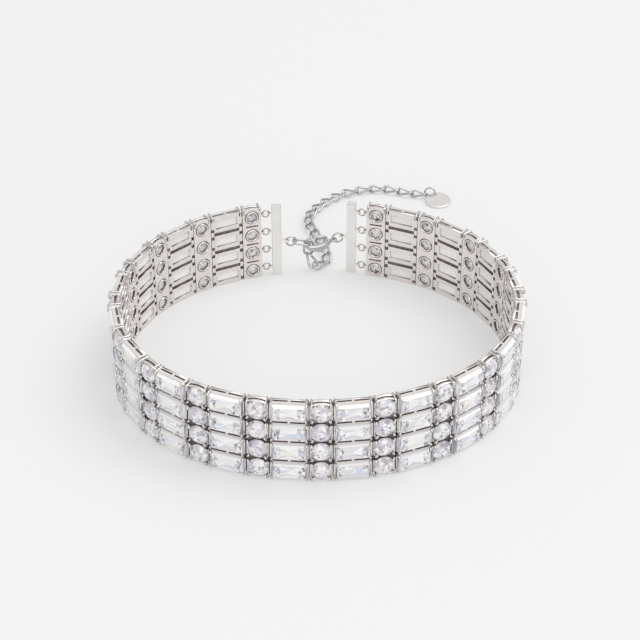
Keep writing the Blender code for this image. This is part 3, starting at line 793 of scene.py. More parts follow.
@dataclass(frozen=True)
class RoundStone:
    """Round brilliant: a table, a crown of three kinds of facet, and a pointed pavilion.

    A share is a part of the radius, or of the rise above the girdle.
    """

    diameter: float = 6.0
    table: float = 3.4
    girdle_depth: float = 2.4
    girdle: float = 0.1
    rise: float = 1.0
    waist_depth: float = 0.7
    culet_depth: float = 0.2
    fold: int = 8
    star_share: float = 0.52
    mid_share: float = 1.02
    mid_rise: float = 0.52
    waist_share: float = 0.62
    # Back facets at the culet that always take a painted grey reflection.
    grey_backs: tuple[int, ...] = (1, 2, 6)

    def mesh(self, chance: random.Random) -> bpy.types.Mesh:
        """Builds the stone with +Y out of the panel.

        Args:
            chance: Seeded source of chance.

        Returns:
            The stone.
        """
        radius, table, fold = self.diameter / 2, self.table / 2, self.fold
        top, half_step = self.girdle_depth + self.rise, math.pi / self.fold
        mid_radius = (radius + table) / 2 * self.mid_share
        mid_depth = self.girdle_depth + self.rise * self.mid_rise
        cut = FacetMesh()
        centre = cut.add(OUTWARD * top)[0]
        star = cut.add(*ring_points(table * self.star_share, fold, top, half_step))
        edge = cut.add(*ring_points(table, fold, top))
        mid = cut.add(*ring_points(mid_radius, fold, mid_depth, half_step))
        girdle = cut.add(*ring_points(radius, 2 * fold, self.girdle_depth))
        lower = cut.add(*ring_points(radius, 2 * fold, self.girdle_depth - self.girdle))
        waist = cut.add(*ring_points(radius * self.waist_share, fold, self.waist_depth))
        culet = cut.add(OUTWARD * self.culet_depth)[0]
        for i in range(fold):
            j = (i + 1) % fold
            cut.facet((centre, star[i], star[j]), BRIGHT)
            cut.facet((star[i], edge[i], edge[j]), MIXED)
            cut.facet((star[i], edge[j], star[j]), GREY)
            cut.facet((edge[i], mid[i], edge[j]), SOFT)
            cut.facet((edge[j], mid[i], girdle[2 * j], mid[j]), SOFT)
            cut.facet((mid[i], girdle[2 * i], girdle[2 * i + 1]), GREY)
            cut.facet((mid[i], girdle[2 * i + 1], girdle[2 * j]), MIXED)
            cut.facet((culet, waist[i], waist[j]), GREY if i in self.grey_backs else BRIGHT)
            cut.facet((waist[i], lower[2 * i], lower[2 * i + 1]), GREY)
            cut.facet((waist[i], lower[2 * i + 1], waist[j]), BRIGHT)
            cut.facet((waist[j], lower[2 * i + 1], lower[2 * j]), GREY)
        for i in range(2 * fold):
            j = (i + 1) % (2 * fold)
            cut.facet((girdle[i], girdle[j], lower[j], lower[i]), (Tone.LIGHT,))
        return cut.mesh(chance)


@dataclass(frozen=True)
class BaguetteStone:
    """Long stone: a clear table with a mosaic of painted reflections at each end, narrow crown steps and a
    flat back.

    Shifts are the most that chance moves a corner. The bow is a line of painted grey reflection across the
    clear part.
    """

    length: float = 10.0
    height: float = 5.3
    corner: float = 0.45
    girdle_depth: float = 2.4
    girdle: float = 0.1
    rise: float = 1.0
    run: float = 0.6
    step_run: float = 0.45
    step_rise: float = 0.6
    back_depth: float = 0.5
    back_inset: float = 1.3
    mosaic: float = 2.0
    mosaic_split: float = 0.58
    row_share: float = 0.3
    shifts: tuple[float, float] = (0.24, 0.2)
    line: float = 0.14
    bow_along: float = 0.35
    bow_down: float = 0.42
    focus_shift: float = 1.2

    def outline(self, inset: float, depth: float) -> list[Vector]:
        """Eight points of a rectangle with cut corners, from the right side anticlockwise.

        Args:
            inset: Distance inside the stone's own outline.
            depth: Depth of the points along Y.

        Returns:
            The points.
        """
        x, z, corner = self.length / 2 - inset, self.height / 2 - inset, self.corner
        flat = ((x, -z + corner), (x, z - corner), (x - corner, z), (-x + corner, z),
                (-x, z - corner), (-x, -z + corner), (-x + corner, -z), (x - corner, -z))
        return [Vector((a, depth, b)) for a, b in flat]

    def mesh(self, chance: random.Random) -> bpy.types.Mesh:
        """Builds the stone with +Y out of the panel.

        Args:
            chance: Seeded source of chance.

        Returns:
            The stone.
        """
        top = self.girdle_depth + self.rise
        cut = FacetMesh()
        girdle = cut.add(*self.outline(0.0, self.girdle_depth))
        step_depth = self.girdle_depth + self.rise * self.step_rise
        step = cut.add(*self.outline(self.run * self.step_run, step_depth))
        edge = cut.add(*self.outline(self.run, top))
        lower = cut.add(*self.outline(0.0, self.girdle_depth - self.girdle))
        under = cut.add(*self.outline(self.back_inset, self.back_depth))
        # Painted light: the top side of the crown takes lighter tones and the bottom side greyer ones, as if
        # lit from above.
        sides = {2: (Tone.WHITE, Tone.FROST), 6: (Tone.PALE, Tone.LIGHT, Tone.FROST)}
        for i in range(8):
            j = (i + 1) % 8
            tones = sides.get(i, GREY)
            for low, high in ((girdle, step), (step, edge)):
                if i in sides:
                    cut.facet((low[i], low[j], high[j], high[i]), tones)
                else:
                    cut.facet((low[i], low[j], high[j]), tones)
                    cut.facet((low[i], high[j], high[i]), tones)
            cut.facet((girdle[i], lower[i], lower[j], girdle[j]), (Tone.LIGHT,))
            cut.facet((lower[i], under[i], under[j], lower[j]), BRIGHT if i in sides else MIXED)
        for group in ((0, 1, 2, 7), (7, 2, 3, 6), (6, 3, 4, 5)):
            cut.facet([under[corner] for corner in group], (Tone.WHITE, Tone.WHITE, Tone.FROST))
        self.cut_table(cut, top, chance)
        return cut.mesh(chance)

    def cut_table(self, cut: FacetMesh, top: float, chance: random.Random) -> None:
        """Divides the flat table into facets of painted reflection, as the pavilion would show through it:
        clear, with a mosaic at both ends.

        Args:
            cut: Stone that the facets go into.
            top: Depth of the table.
            chance: Seeded source of chance that shifts the mosaic's corners.
        """
        x, z = self.length / 2 - self.run, self.height / 2 - self.run
        inner, split, part = x - self.mosaic, x - self.mosaic * self.mosaic_split, z * self.row_share
        levels = (-z, -z + self.corner, -part, part, z - self.corner, z)
        columns = []
        for sign in (-1.0, 1.0):
            grid = []
            for column, place in enumerate((inner, split, x - self.corner, x)):
                line = []
                for row, level in enumerate(levels):
                    free = 0 < row < 5 and column < 3
                    shift = [chance.uniform(-most, most) for most in self.shifts] if free else (0.0, 0.0)
                    line.append(cut.add(Vector((sign * place + shift[0], top, level + shift[1])))[0])
                grid.append(line)
            for column in range(3):
                for row in range(5):
                    a, b = grid[column][row], grid[column + 1][row]
                    c, d = grid[column + 1][row + 1], grid[column][row + 1]
                    if column == 2 and row in (0, 4):
                        cut.facet((a, c, d) if row == 0 else (a, b, d), GREY)
                    elif (column + row) % 2:
                        cut.facet((a, b, c), GREY)
                        cut.facet((a, c, d), MIXED)
                    else:
                        cut.facet((a, b, d), MIXED)
                        cut.facet((b, c, d), GREY)
            columns.append(grid[0])
        left, right = columns
        # The bow: a thin band of painted grey reflection across the clear part.
        bow = [Vector((side * inner * self.bow_along, top, -z * self.bow_down)) for side in (-1, 1)]
        low_left, low_right = cut.add(*bow)
        rise = Vector((0.0, 0.0, self.line))
        high_left, high_right = cut.add(*(point + rise for point in bow))
        cut.facet((left[0], right[0], right[1], low_right, low_left, left[1]), (Tone.FROST, Tone.PALE))
        start = cut.add(cut.points[left[1]] + rise)[0]
        end = cut.add(cut.points[right[1]] + rise)[0]
        lower, upper = (left[1], low_left, low_right, right[1]), (start, high_left, high_right, end)
        for a, b, c, d in zip(lower, lower[1:], upper[1:], upper):
            cut.facet((a, b, c, d), (Tone.MIDDLE, Tone.LIGHT, Tone.DEEP))
        focus_along = chance.uniform(-self.focus_shift, self.focus_shift)
        focus = cut.add(Vector((focus_along, top, z * chance.uniform(0.0, 0.5))))[0]
        loop = [start, high_left, high_right, end, *right[2:], *left[:1:-1]]
        # Dark metal that paints the shade in slots, cores and spines.
        for a, b in zip(loop, loop[1:] + loop[:1]):
            cut.facet((a, b, focus), CLEAR)


# Panels


class PanelKind(Enum):
    """The two kinds of panel that alternate along the band."""

    ROUND = "round_panel"
    BAGUETTE = "baguette_panel"


@dataclass
class Claw:
    """One claw: a wire that runs through the panel's depth and bends over the stone's edge."""

    reach: float = 0.65
    radius: float = 0.34
    start: float = -1.9
    top: float = 0.72

    def mesh(self) -> bpy.types.Mesh:
        """Builds the claw with +Z out of the panel and +X towards the stone.

        Returns:
            The claw.
        """
        line = [(0.0, self.start, 0.9), (0.0, -0.4, 1.0), (0.02, 0.2, 1.04), (0.1 * self.reach, 0.52, 1.04),
                (0.42 * self.reach, self.top, 1.0), (self.reach, self.top + 0.04, 0.8)]
        stations = [(Vector((x, 0.0, z)), self.radius * scale, self.radius * scale) for x, z, scale in line]
        return swept(stations, OUTWARD, 8)


@dataclass
class EdgeWire:
    """Wire that crosses the panel's top edge and bends down over the stone and over the inner side."""

    high: float
    radius: float = 0.3
    rise: float = 0.06
    front: float = 3.25
    lean: float = 0.25
    inset: float = 0.4

    def mesh(self, x: float) -> bpy.types.Mesh:
        """Builds the wire over the top edge.

        Args:
            x: Distance of the wire from the panel's middle.

        Returns:
            The wire.
        """
        tip = x - math.copysign(self.lean, x)
        top, shoulder = self.high + self.rise, self.high - 0.35
        line = [(x, -0.06, self.high - 1.6), (x, -0.14, shoulder), (x, 0.2, top), (x, 1.6, top + 0.04),
                (x, self.front - 0.4, top - 0.02), (x, self.front, shoulder),
                (tip, self.front + 0.1, self.high - 1.1)]
        curve = smooth_line([Vector(point) for point in line], 3)
        return swept([(point, self.radius, self.radius) for point in curve], SIDEWAYS, 8)


@dataclass
class Lug:
    """Flat lug with a rounded end and a hole for a ring."""

    reach: float
    hole: float
    rim: float
    thickness: float
    root: float = 0.3

    def mesh(self) -> bpy.types.Mesh:
        """Builds the lug along +X from its root, lying in the XY plane.

        Returns:
            The lug.
        """
        side = self.hole / 2 + self.rim
        arc = [(self.reach + side * math.cos(angle), side * math.sin(angle))
               for angle in (math.radians(step * 15 - 90) for step in range(13))]
        outline = [(-self.root, -side), *arc, (-self.root, side)]
        opening = circle(self.hole / 2, 16, (self.reach, 0.0))
        return flat_plate([outline, opening], self.thickness, EDGE)


@dataclass
class PanelSizes:
    """Sizes that both kinds of panel share, and the bars with them."""

    rows: int = 4
    pitch: float = 6.5
    cell: float = 6.0
    foot: float = 0.0
    depth: float = 2.5
    lug_reach: float = 0.7
    lug_hole: float = 0.8
    lug_rim: float = 0.35
    lug_thickness: float = 0.45

    def middles(self) -> list[float]:
        """Heights of the middles of the rows."""
        return [self.foot + self.cell / 2 + row * self.pitch for row in range(self.rows)]

    def high(self) -> float:
        """Height of the upper rail's top."""
        return self.foot + (self.rows - 1) * self.pitch + self.cell

    def lugs(self, root: float, side: int, edge: Vector) -> list[Part]:
        """Builds one lug at the middle of each row.

        Args:
            root: Length that each lug reaches into what carries it.
            side: 1 for lugs that point to +X and -1 for lugs that point to -X.
            edge: Place that the lugs start from, at the foot.

        Returns:
            The lugs at their places.
        """
        lug = Lug(self.lug_reach, self.lug_hole, self.lug_rim, self.lug_thickness, root).mesh()
        return [(lug, to_side(side, edge + UP * middle), Slot.METAL) for middle in self.middles()]


@dataclass
class Panel:
    """What both kinds of panel share: walls beside the rows, wires over the top edge, and claws.

    The lap is the length by which neighbouring forms run into each other.
    """

    sizes: PanelSizes
    width: float
    stone: RoundStone | BaguetteStone
    claw: Claw
    claw_inset: float
    claw_lean: float
    wall: float
    wall_depth: float
    wall_edge: float
    spine_ends: tuple[float, float]
    claw_drop: float = 0.38
    plate: float = 0.5
    lap: float = 0.1
    core_edge: float = 0.02
    spine_depth: float = 1.2
    wall_drop: float = 0.65
    wall_spread: float = 0.2
    spread: float = 0.1

    def walls(self) -> list[Part]:
        """Builds the light wall pieces beside the rows, and the spine behind them in dark metal that paints
        the shade there.

        Returns:
            The spine and the wall pieces of both sides.
        """
        parts = []
        half, start = self.width / 2, self.plate + self.lap
        reach = self.sizes.cell / 2 - self.wall_drop
        low, high = self.sizes.foot + self.spine_ends[0], self.sizes.high() - self.spine_ends[1]
        for side in (1, -1):
            near, far = sorted((side * (half + self.wall_spread), side * (half - self.wall)))
            spine = rounded_box((near, start, low), (far, self.spine_depth, high), EDGE)
            # The spine's dark metal is painted shade between the panels.
            parts.append(in_place(spine, Slot.RECESS))
            for middle in self.sizes.middles():
                wall = rounded_box((near, start, middle - reach), (far, self.wall_depth, middle + reach),
                                   self.wall_edge)
                parts.append(in_place(wall))
        return parts

    def edge_wires(self) -> list[Part]:
        """Two wires that cross the top edge."""
        wire = EdgeWire(self.sizes.high())
        return [in_place(wire.mesh(side * (self.width / 2 - wire.inset)), Slot.CLAWS) for side in (1, -1)]

    def claws(self, trees: Trees, finish: bpy.types.Material) -> Part:
        """Builds the claws at the four corners of each stone.

        Args:
            trees: Trees that set the claws.
            finish: Material that they are made in.

        Returns:
            The claws at their places.
        """
        x, z = self.width / 2 - self.claw_inset, self.sizes.cell / 2 - self.claw_drop
        places = [claw_place(Vector((side * x, self.stone.girdle_depth, middle + rise * z)),
                             Vector((-side * self.claw_lean, 0.0, -rise)))
                  for middle in self.sizes.middles() for side in (1, -1) for rise in (1, -1)]
        return in_place(trees.claws.claws(places, self.claw.mesh(), finish), Slot.CLAWS)


def claw_place(point: Vector, towards: Vector) -> Matrix:
    """Place of a claw.

    Args:
        point: Where the claw crosses the stone's girdle.
        towards: Direction of its tip within the panel's face.

    Returns:
        The matrix of the place.
    """
    x_axis = towards.normalized()
    turn = Matrix((x_axis, OUTWARD.cross(x_axis), OUTWARD)).transposed().to_4x4()
    return Matrix.Translation(point) @ turn


@dataclass
class BaguettePanel(Panel):
    """Panel of four long stones: a pierced back plate, a dark core of painted shade that closes its slots,
    and rails.
    """

    width: float = 10.26
    stone: BaguetteStone = field(default_factory=BaguetteStone)
    claw: Claw = field(default_factory=Claw)
    claw_inset: float = 0.3
    claw_lean: float = 0.35
    wall: float = 0.5
    wall_depth: float = 2.25
    wall_edge: float = EDGE
    spine_ends: tuple[float, float] = (0.3, 0.2)
    window_length: float = 7.0
    window_height: float = 2.8
    window_margin: float = 0.4
    slot_length: float = 8.5
    slot_height: float = 1.1
    notch_depth: float = 0.9
    notch_height: float = 1.1
    notch_rise: float = 1.9
    front_rail: float = 0.35
    rail_depth: float = 2.4
    front_start: float = 1.35
    inner_rail: float = 0.75
    dash_end: float = 4.3
    core_inset: float = 0.3
    core_drop: float = 0.6
    post: float = 0.8

    def outline(self) -> Plan:
        """Outline of the back plate, with two notches beside each row.

        Returns:
            The outline's points.
        """
        half, inner = self.width / 2 + self.spread, self.width / 2 - self.notch_depth
        side = [(half, self.sizes.foot)]
        for middle in self.sizes.middles():
            for rise in (-self.notch_rise, self.notch_rise):
                low, high = middle + rise - self.notch_height / 2, middle + rise + self.notch_height / 2
                side.extend(((half, low), (inner, low), (inner, high), (half, high)))
        side.append((half, self.sizes.high()))
        return side + [(-x, z) for x, z in reversed(side)]

    def plates(self) -> list[Part]:
        """Builds the pierced back plate, and the dark core of painted shade that closes the slots between
        the rows.

        Returns:
            The plate and the core.
        """
        foot, high, middles = self.sizes.foot, self.sizes.high(), self.sizes.middles()
        windows = [rectangle(self.window_length, self.window_height, middle) for middle in middles]
        slots = [rectangle(self.slot_length, self.slot_height, middle + self.sizes.pitch / 2)
                 for middle in middles[:-1]]
        edge = rectangle(self.width - self.core_inset, high - foot - 2 * self.core_drop, (foot + high) / 2)
        margin = self.window_margin
        openings = [rectangle(self.window_length + margin, self.window_height + margin, middle)
                    for middle in middles]
        return [standing_plate([self.outline(), *windows, *slots], 0.0, self.plate, EDGE),
                # The core's dark metal is painted shade seen through the windows and slots.
                standing_plate([edge, *openings], self.plate, self.front_start - self.plate, self.core_edge,
                               Slot.RECESS)]

    def rails(self) -> list[Part]:
        """Builds the front rails, the posts between the rows, and the rails of the lower and upper edge.

        Returns:
            The rails and the posts.
        """
        half, cell, post, lap = self.width / 2, self.sizes.cell / 2, self.post / 2, self.lap
        foot, head, inside = self.sizes.foot, self.sizes.high(), self.width / 2 - self.lap
        middles = self.sizes.middles()
        boxes = []
        for middle in middles:
            for sign in (1, -1):
                low, high = sorted((middle + sign * cell, middle + sign * (cell - self.front_rail)))
                boxes.append(((-half, self.front_start, low), (half, self.rail_depth, high)))
        for middle in middles[:-1]:
            low = middle + cell - lap
            high = low + self.sizes.pitch - 2 * cell + 2 * lap
            boxes.append(((-post, self.front_start, low), (post, self.rail_depth - lap, high)))
        for low, high in ((head - self.core_drop, head), (foot, foot + self.core_drop)):
            boxes.append(((-inside, self.plate - lap, low), (inside, self.inner_rail, high)))
            for near, far in ((-inside, -self.dash_end), (-post, post), (self.dash_end, inside)):
                boxes.append(((near, self.inner_rail - lap, low), (far, self.front_start + lap, high)))
        return [in_place(rounded_box(low, high, EDGE)) for low, high in boxes]

    def metal(self, trees: Trees, finish: bpy.types.Material) -> bpy.types.Mesh:
        """Builds everything but the stones.

        Args:
            trees: Trees that set the claws.
            finish: Material that the claws are made in.

        Returns:
            The panel's metal.
        """
        return joined("baguette_metal", [*self.plates(), *self.rails(), *self.walls(), *self.edge_wires(),
                                         self.claws(trees, finish)])

    def stones(self, chance: random.Random) -> list[Part]:
        """Four stones, each with facets of its own tones."""
        return [(self.stone.mesh(chance), Matrix.Translation(UP * middle), Slot.CRYSTAL)
                for middle in self.sizes.middles()]


@dataclass
class RoundPanel(Panel):
    """Panel of four round stones: a plate with four collared windows, a dark core of painted shade, seats
    and arcs.
    """

    width: float = 5.9
    stone: RoundStone = field(default_factory=RoundStone)
    claw: Claw = field(default_factory=lambda: Claw(reach=0.95))
    claw_inset: float = 0.28
    claw_lean: float = 0.6
    wall: float = 0.4
    wall_depth: float = 2.15
    wall_edge: float = 0.08
    spine_ends: tuple[float, float] = (0.3, 0.3)
    slotted: bool = False
    slot_length: float = 3.9
    slot_height: float = 0.5
    arc: float = 0.6
    low_arc: float = 0.3
    shoulder: float = 0.3
    arc_share: float = 0.96
    arc_half: float = 0.24
    arc_rails: tuple[tuple[float, float], ...] = ((0.6, 0.4), (2.0, 0.5))
    groove: float = 2.3
    window: float = 1.75
    round_sides: int = 28
    collar: float = 2.12
    collar_wire: float = 0.56
    core: float = 1.2
    core_drop: float = 0.45
    seat_inset: float = 0.02
    seat_depth: float = 2.05
    seat_wire: float = 0.3
    stone_turn: float = 0.2
    lug_root: float = 0.6

    def outline(self, inset: float) -> Plan:
        """Outline of the plate, with a low arc over each end.

        Args:
            inset: Distance that the outline stays inside the panel's own.

        Returns:
            The outline's points.
        """
        half = self.width / 2 + self.spread - inset
        steps = [step / 6 - 1 for step in range(13)]
        high, low = self.sizes.high() - self.shoulder - inset, self.sizes.foot + self.shoulder + inset
        top = [(half * step, high + self.arc * (1 - step ** 2)) for step in steps]
        bottom = [(half * step, low - self.low_arc * (1 - step ** 2)) for step in steps]
        return bottom + top[::-1]

    def plates(self) -> list[Part]:
        """Builds the plate with its round windows, and the dark core of painted shade behind it.

        Returns:
            The plate and the core.
        """
        middles = self.sizes.middles()
        between = [middle + self.sizes.pitch / 2 for middle in middles[:-1]] if self.slotted else []
        grooves, windows = ([circle(radius, self.round_sides, (0.0, middle)) for middle in middles]
                            for radius in (self.groove, self.window))
        slots = [rectangle(self.slot_length, self.slot_height, middle) for middle in between]
        return [standing_plate([self.outline(0.0), *grooves, *slots], 0.0, self.plate, EDGE),
                # The core's dark metal is painted shade seen through the grooves and slots.
                standing_plate([self.outline(self.core_drop), *windows], self.plate, self.core,
                               self.core_edge, Slot.RECESS)]

    def seats(self, trees: Trees, finish: bpy.types.Material) -> list[Part]:
        """Builds the collars round the windows and the seats round the stones.

        Args:
            trees: Trees that make the wire.
            finish: Material that it is made in.

        Returns:
            The collars and the seats.
        """
        parts = []
        for depth, size, wire in ((0.0, 2 * self.collar, self.collar_wire),
                                  (self.seat_depth, self.stone.diameter - self.seat_inset, self.seat_wire)):
            rings = [facing(Vector((0.0, depth, middle)), SIDEWAYS, UP) for middle in self.sizes.middles()]
            parts.append(in_place(trees.wires.links(rings, size, size, wire, finish)))
        return parts

    def arcs(self) -> list[Part]:
        """Builds the rails that follow the low arc over each end.

        Returns:
            The rails.
        """
        parts = []
        for height, sign, rise in ((self.sizes.high() - self.shoulder, 1, self.arc),
                                   (self.sizes.foot + self.shoulder, -1, self.low_arc)):
            for depth, thick in self.arc_rails:
                line = [Vector((self.width / 2 * step * self.arc_share, depth,
                                height + sign * (rise * (1 - step ** 2) - self.arc_half)))
                        for step in (k / 5 - 1 for k in range(11))]
                parts.append(in_place(swept([(point, self.arc_half, thick) for point in line], OUTWARD, 8)))
        return parts

    def metal(self, trees: Trees, finish: bpy.types.Material) -> bpy.types.Mesh:
        """Builds everything but the stones.

        Args:
            trees: Trees that set the rings and the claws.
            finish: Material that those are made in.

        Returns:
            The panel's metal.
        """
        return joined("round_metal", [*self.plates(), *self.seats(trees, finish), *self.walls(),
                                      *self.edge_wires(), *self.arcs(), self.claws(trees, finish)])

    def stones(self, chance: random.Random) -> list[Part]:
        """Builds four stones, each turned a little and with facets of its own tones.

        Args:
            chance: Seeded source of chance.

        Returns:
            The stones at their places.
        """
        placed = []
        for middle in self.sizes.middles():
            turn = Matrix.Rotation(chance.uniform(-self.stone_turn, self.stone_turn), 4, "Y")
            placed.append((self.stone.mesh(chance), Matrix.Translation(UP * middle) @ turn, Slot.CRYSTAL))
        return placed

    def lugs(self, side: int) -> list[Part]:
        """Four lugs on one side of an end panel."""
        edge = Vector((side * self.width / 2, self.sizes.depth / 2, 0.0))
        return self.sizes.lugs(self.lug_root, side, edge)


# Band


@dataclass
class Piece:
    """Turns a mesh in millimetres into a finished piece of the necklace."""

    name: str
    mesh: bpy.types.Mesh
    finishes: tuple[bpy.types.Material, ...]
    stands_for: tuple[str, ...]
    body: str = BODY

    def finish(self) -> None:
        """Places the piece in the row frame, dresses it and hands it to the frame."""
        mesh = moved(self.mesh, TO_ROW)
        mesh.name = self.name
        if not mesh.materials:
            for material in self.finishes:
                mesh.materials.append(material)
        item = bpy.data.objects.new(self.name, mesh)
        bpy.context.scene.collection.objects.link(item)
        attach(item, self.body)
        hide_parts(*self.stands_for)
        LOG.info("%s: %d faces, rides on %s", self.name, len(mesh.polygons), self.body)


@dataclass
class Band:
    """The band of alternating panels, stepped round a slightly squared ellipse."""

    finishes: tuple[bpy.types.Material, ...]
    half_width: float = 57.08345
    depth_share: float = 0.895
    squareness: float = 2.1
    round_chord: float = 6.25
    baguette_chord: float = 10.61
    per_side: int = 9
    sizes: PanelSizes = field(default_factory=PanelSizes)
    seed: int = 11

    def point(self, angle: float) -> Vector:
        """Point of the band's inner line.

        Args:
            angle: Angle from the front.

        Returns:
            The point, on the table.
        """
        power = 2.0 / self.squareness
        across, back = math.sin(angle), -math.cos(angle)
        x = self.half_width * math.copysign(abs(across) ** power, across)
        y = self.half_width * self.depth_share * math.copysign(abs(back) ** power, back)
        return Vector((x, y, 0.0))

    def borders(self) -> list[Vector]:
        """Borders of the panels from the right end round the front to the left end.

        Returns:
            The borders on the band's inner line.
        """
        angle = turning_point(0.0, 1.0, lambda a: 2 * self.point(a).x < self.round_chord)
        found = [self.point(angle)]
        for _ in range(self.per_side):
            for chord in (self.baguette_chord, self.round_chord):
                start = found[-1]
                angle = turning_point(angle, angle + 1.0, lambda a: (self.point(a) - start).length < chord)
                found.append(self.point(angle))
        return found[::-1] + [Vector((-point.x, point.y, 0.0)) for point in found]

    def place(self, start: Vector, end: Vector) -> Matrix:
        """Place of a panel whose inner face lies between two borders.

        Args:
            start: One border.
            end: The next border.

        Returns:
            The matrix of the place.
        """
        middle = (start + end) / 2
        outward = (end - start).cross(UP).normalized()
        if outward.dot(middle) < 0:
            outward.negate()
        return Matrix.Translation(middle) @ Matrix.Rotation(math.atan2(-outward.x, outward.y), 4, "Z")

    def build(self, trees: Trees) -> list[Piece]:
        """Builds all the panels.

        Args:
            trees: Trees that set the claws and the round seats.

        Returns:
            One piece for each panel.
        """
        chance = random.Random(self.seed)
        finish = self.finishes[Slot.METAL]
        kinds = {PanelKind.ROUND: RoundPanel(self.sizes), PanelKind.BAGUETTE: BaguettePanel(self.sizes)}
        metal = {kind: panel.metal(trees, finish) for kind, panel in kinds.items()}
        end_metal = RoundPanel(self.sizes, slotted=True).metal(trees, finish)
        line = self.borders()
        end_sides = {0: -1, len(line) - 2: 1}
        pieces = []
        for index, (start, end) in enumerate(zip(line, line[1:])):
            kind = PanelKind.BAGUETTE if index % 2 else PanelKind.ROUND
            setting = end_metal if index in end_sides else metal[kind]
            parts = [(setting, UNMOVED, None), *kinds[kind].stones(chance)]
            if index in end_sides:
                parts.extend(kinds[kind].lugs(end_sides[index]))
            name = f"{kind.value}_{index // 2 + 1:02d}"
            mesh = moved(joined(name, parts), self.place(start, end))
            pieces.append(Piece(f"set_{name}", mesh, self.finishes, (name,)))
        return pieces


# Bars, rings, clasp and chain


@dataclass
class EndBar:
    """Plain polished bar with four lugs on one edge and a loop on the other."""

    word: str
    centre: Vector
    turn: float
    inner_side: int
    sizes: PanelSizes = field(default_factory=PanelSizes)
    width: float = 3.0
    thickness: float = 1.85
    height: float = 25.5
    edge: float = 0.22
    lug_root: float = 0.3
    loop_height: float = 12.65
    loop_reach: float = 1.6
    loop_hole: float = 1.05
    loop_rim: float = 0.4

    def build(self, finish: bpy.types.Material) -> Piece:
        """Builds the bar at its place.

        Args:
            finish: Material of the bar.

        Returns:
            The bar.
        """
        half, depth = self.width / 2, self.thickness / 2
        parts = [in_place(rounded_box((-half, -depth, 0.0), (half, depth, self.height), self.edge, 3))]
        parts.extend(self.sizes.lugs(self.lug_root, -self.inner_side, SIDEWAYS * (-self.inner_side * half)))
        loop = Lug(self.loop_reach, self.loop_hole, self.loop_rim, self.sizes.lug_thickness).mesh()
        loop_edge = Vector((self.inner_side * half, 0.0, self.loop_height))
        parts.append((loop, to_side(self.inner_side, loop_edge), Slot.METAL))
        place = Matrix.Translation(self.centre) @ Matrix.Rotation(self.turn, 4, "Z")
        mesh = moved(joined(f"bar_{self.word}", parts), place)
        for polygon in mesh.polygons:
            polygon.use_smooth = False
        return Piece(f"polished_bar_{self.word}", mesh, (finish,), (f"end_bar_{self.word}",))


@dataclass
class WireRing:
    """One closed ring: a small ring at an end of the band, a jump ring or the chain's end ring."""

    radius: float
    wire: float
    along: Vector
    upward: Vector = field(default_factory=lambda: UP)

    def build(self, name: str, centre: Vector, trees: Trees, finish: bpy.types.Material) -> Piece:
        """Builds the ring.

        Args:
            name: Name of the CAD node that it stands for.
            centre: Centre of the ring.
            trees: Trees that make the wire.
            finish: Material of the wire.

        Returns:
            The ring.
        """
        size = 2 * self.radius + self.wire
        place = facing(centre, self.along, self.upward)
        mesh = trees.wires.links([place], size, size, self.wire, finish)
        return Piece(f"wire_{name.removeprefix('small_')}", mesh, (finish,), (name,))


def end_rings(sizes: PanelSizes, trees: Trees, finish: bpy.types.Material) -> list[Piece]:
    """Builds the small rings, the two jump rings and the chain's end ring.

    Args:
        sizes: Sizes of the panels, for the heights of the rows.
        trees: Trees that make the wire.
        finish: Material of the wire.

    Returns:
        All the rings.
    """
    made = []
    ends = {"left": (Vector((-15.142, 50.782, 0.0)), Vector((0.99, 0.141, 0.0))),
            "right": (Vector((15.188, 50.978, 0.0)), Vector((-0.9505, 0.3107, 0.0)))}
    for word, (centre, along) in ends.items():
        small = WireRing(1.15, 0.45, along)
        for row, middle in enumerate(sizes.middles(), start=1):
            made.append(small.build(f"small_ring_{word}_{row}", centre + UP * middle, trees, finish))
    jump = WireRing(1.6, 0.55, Vector((0.99244, 0.12272, 0.0)))
    for word, centre in (("left", (-7.211, 51.129, 12.103)), ("right", (7.622, 52.963, 12.103))):
        made.append(jump.build(f"jump_ring_{word}", Vector(centre), trees, finish))
    last = WireRing(1.75, 0.6, Vector((0.98943, -0.14503, 0.0)), Vector((0.06129, 0.41815, 0.90631)))
    made.append(last.build("end_ring", Vector((40.67, 98.135, 1.886)), trees, finish))
    return made


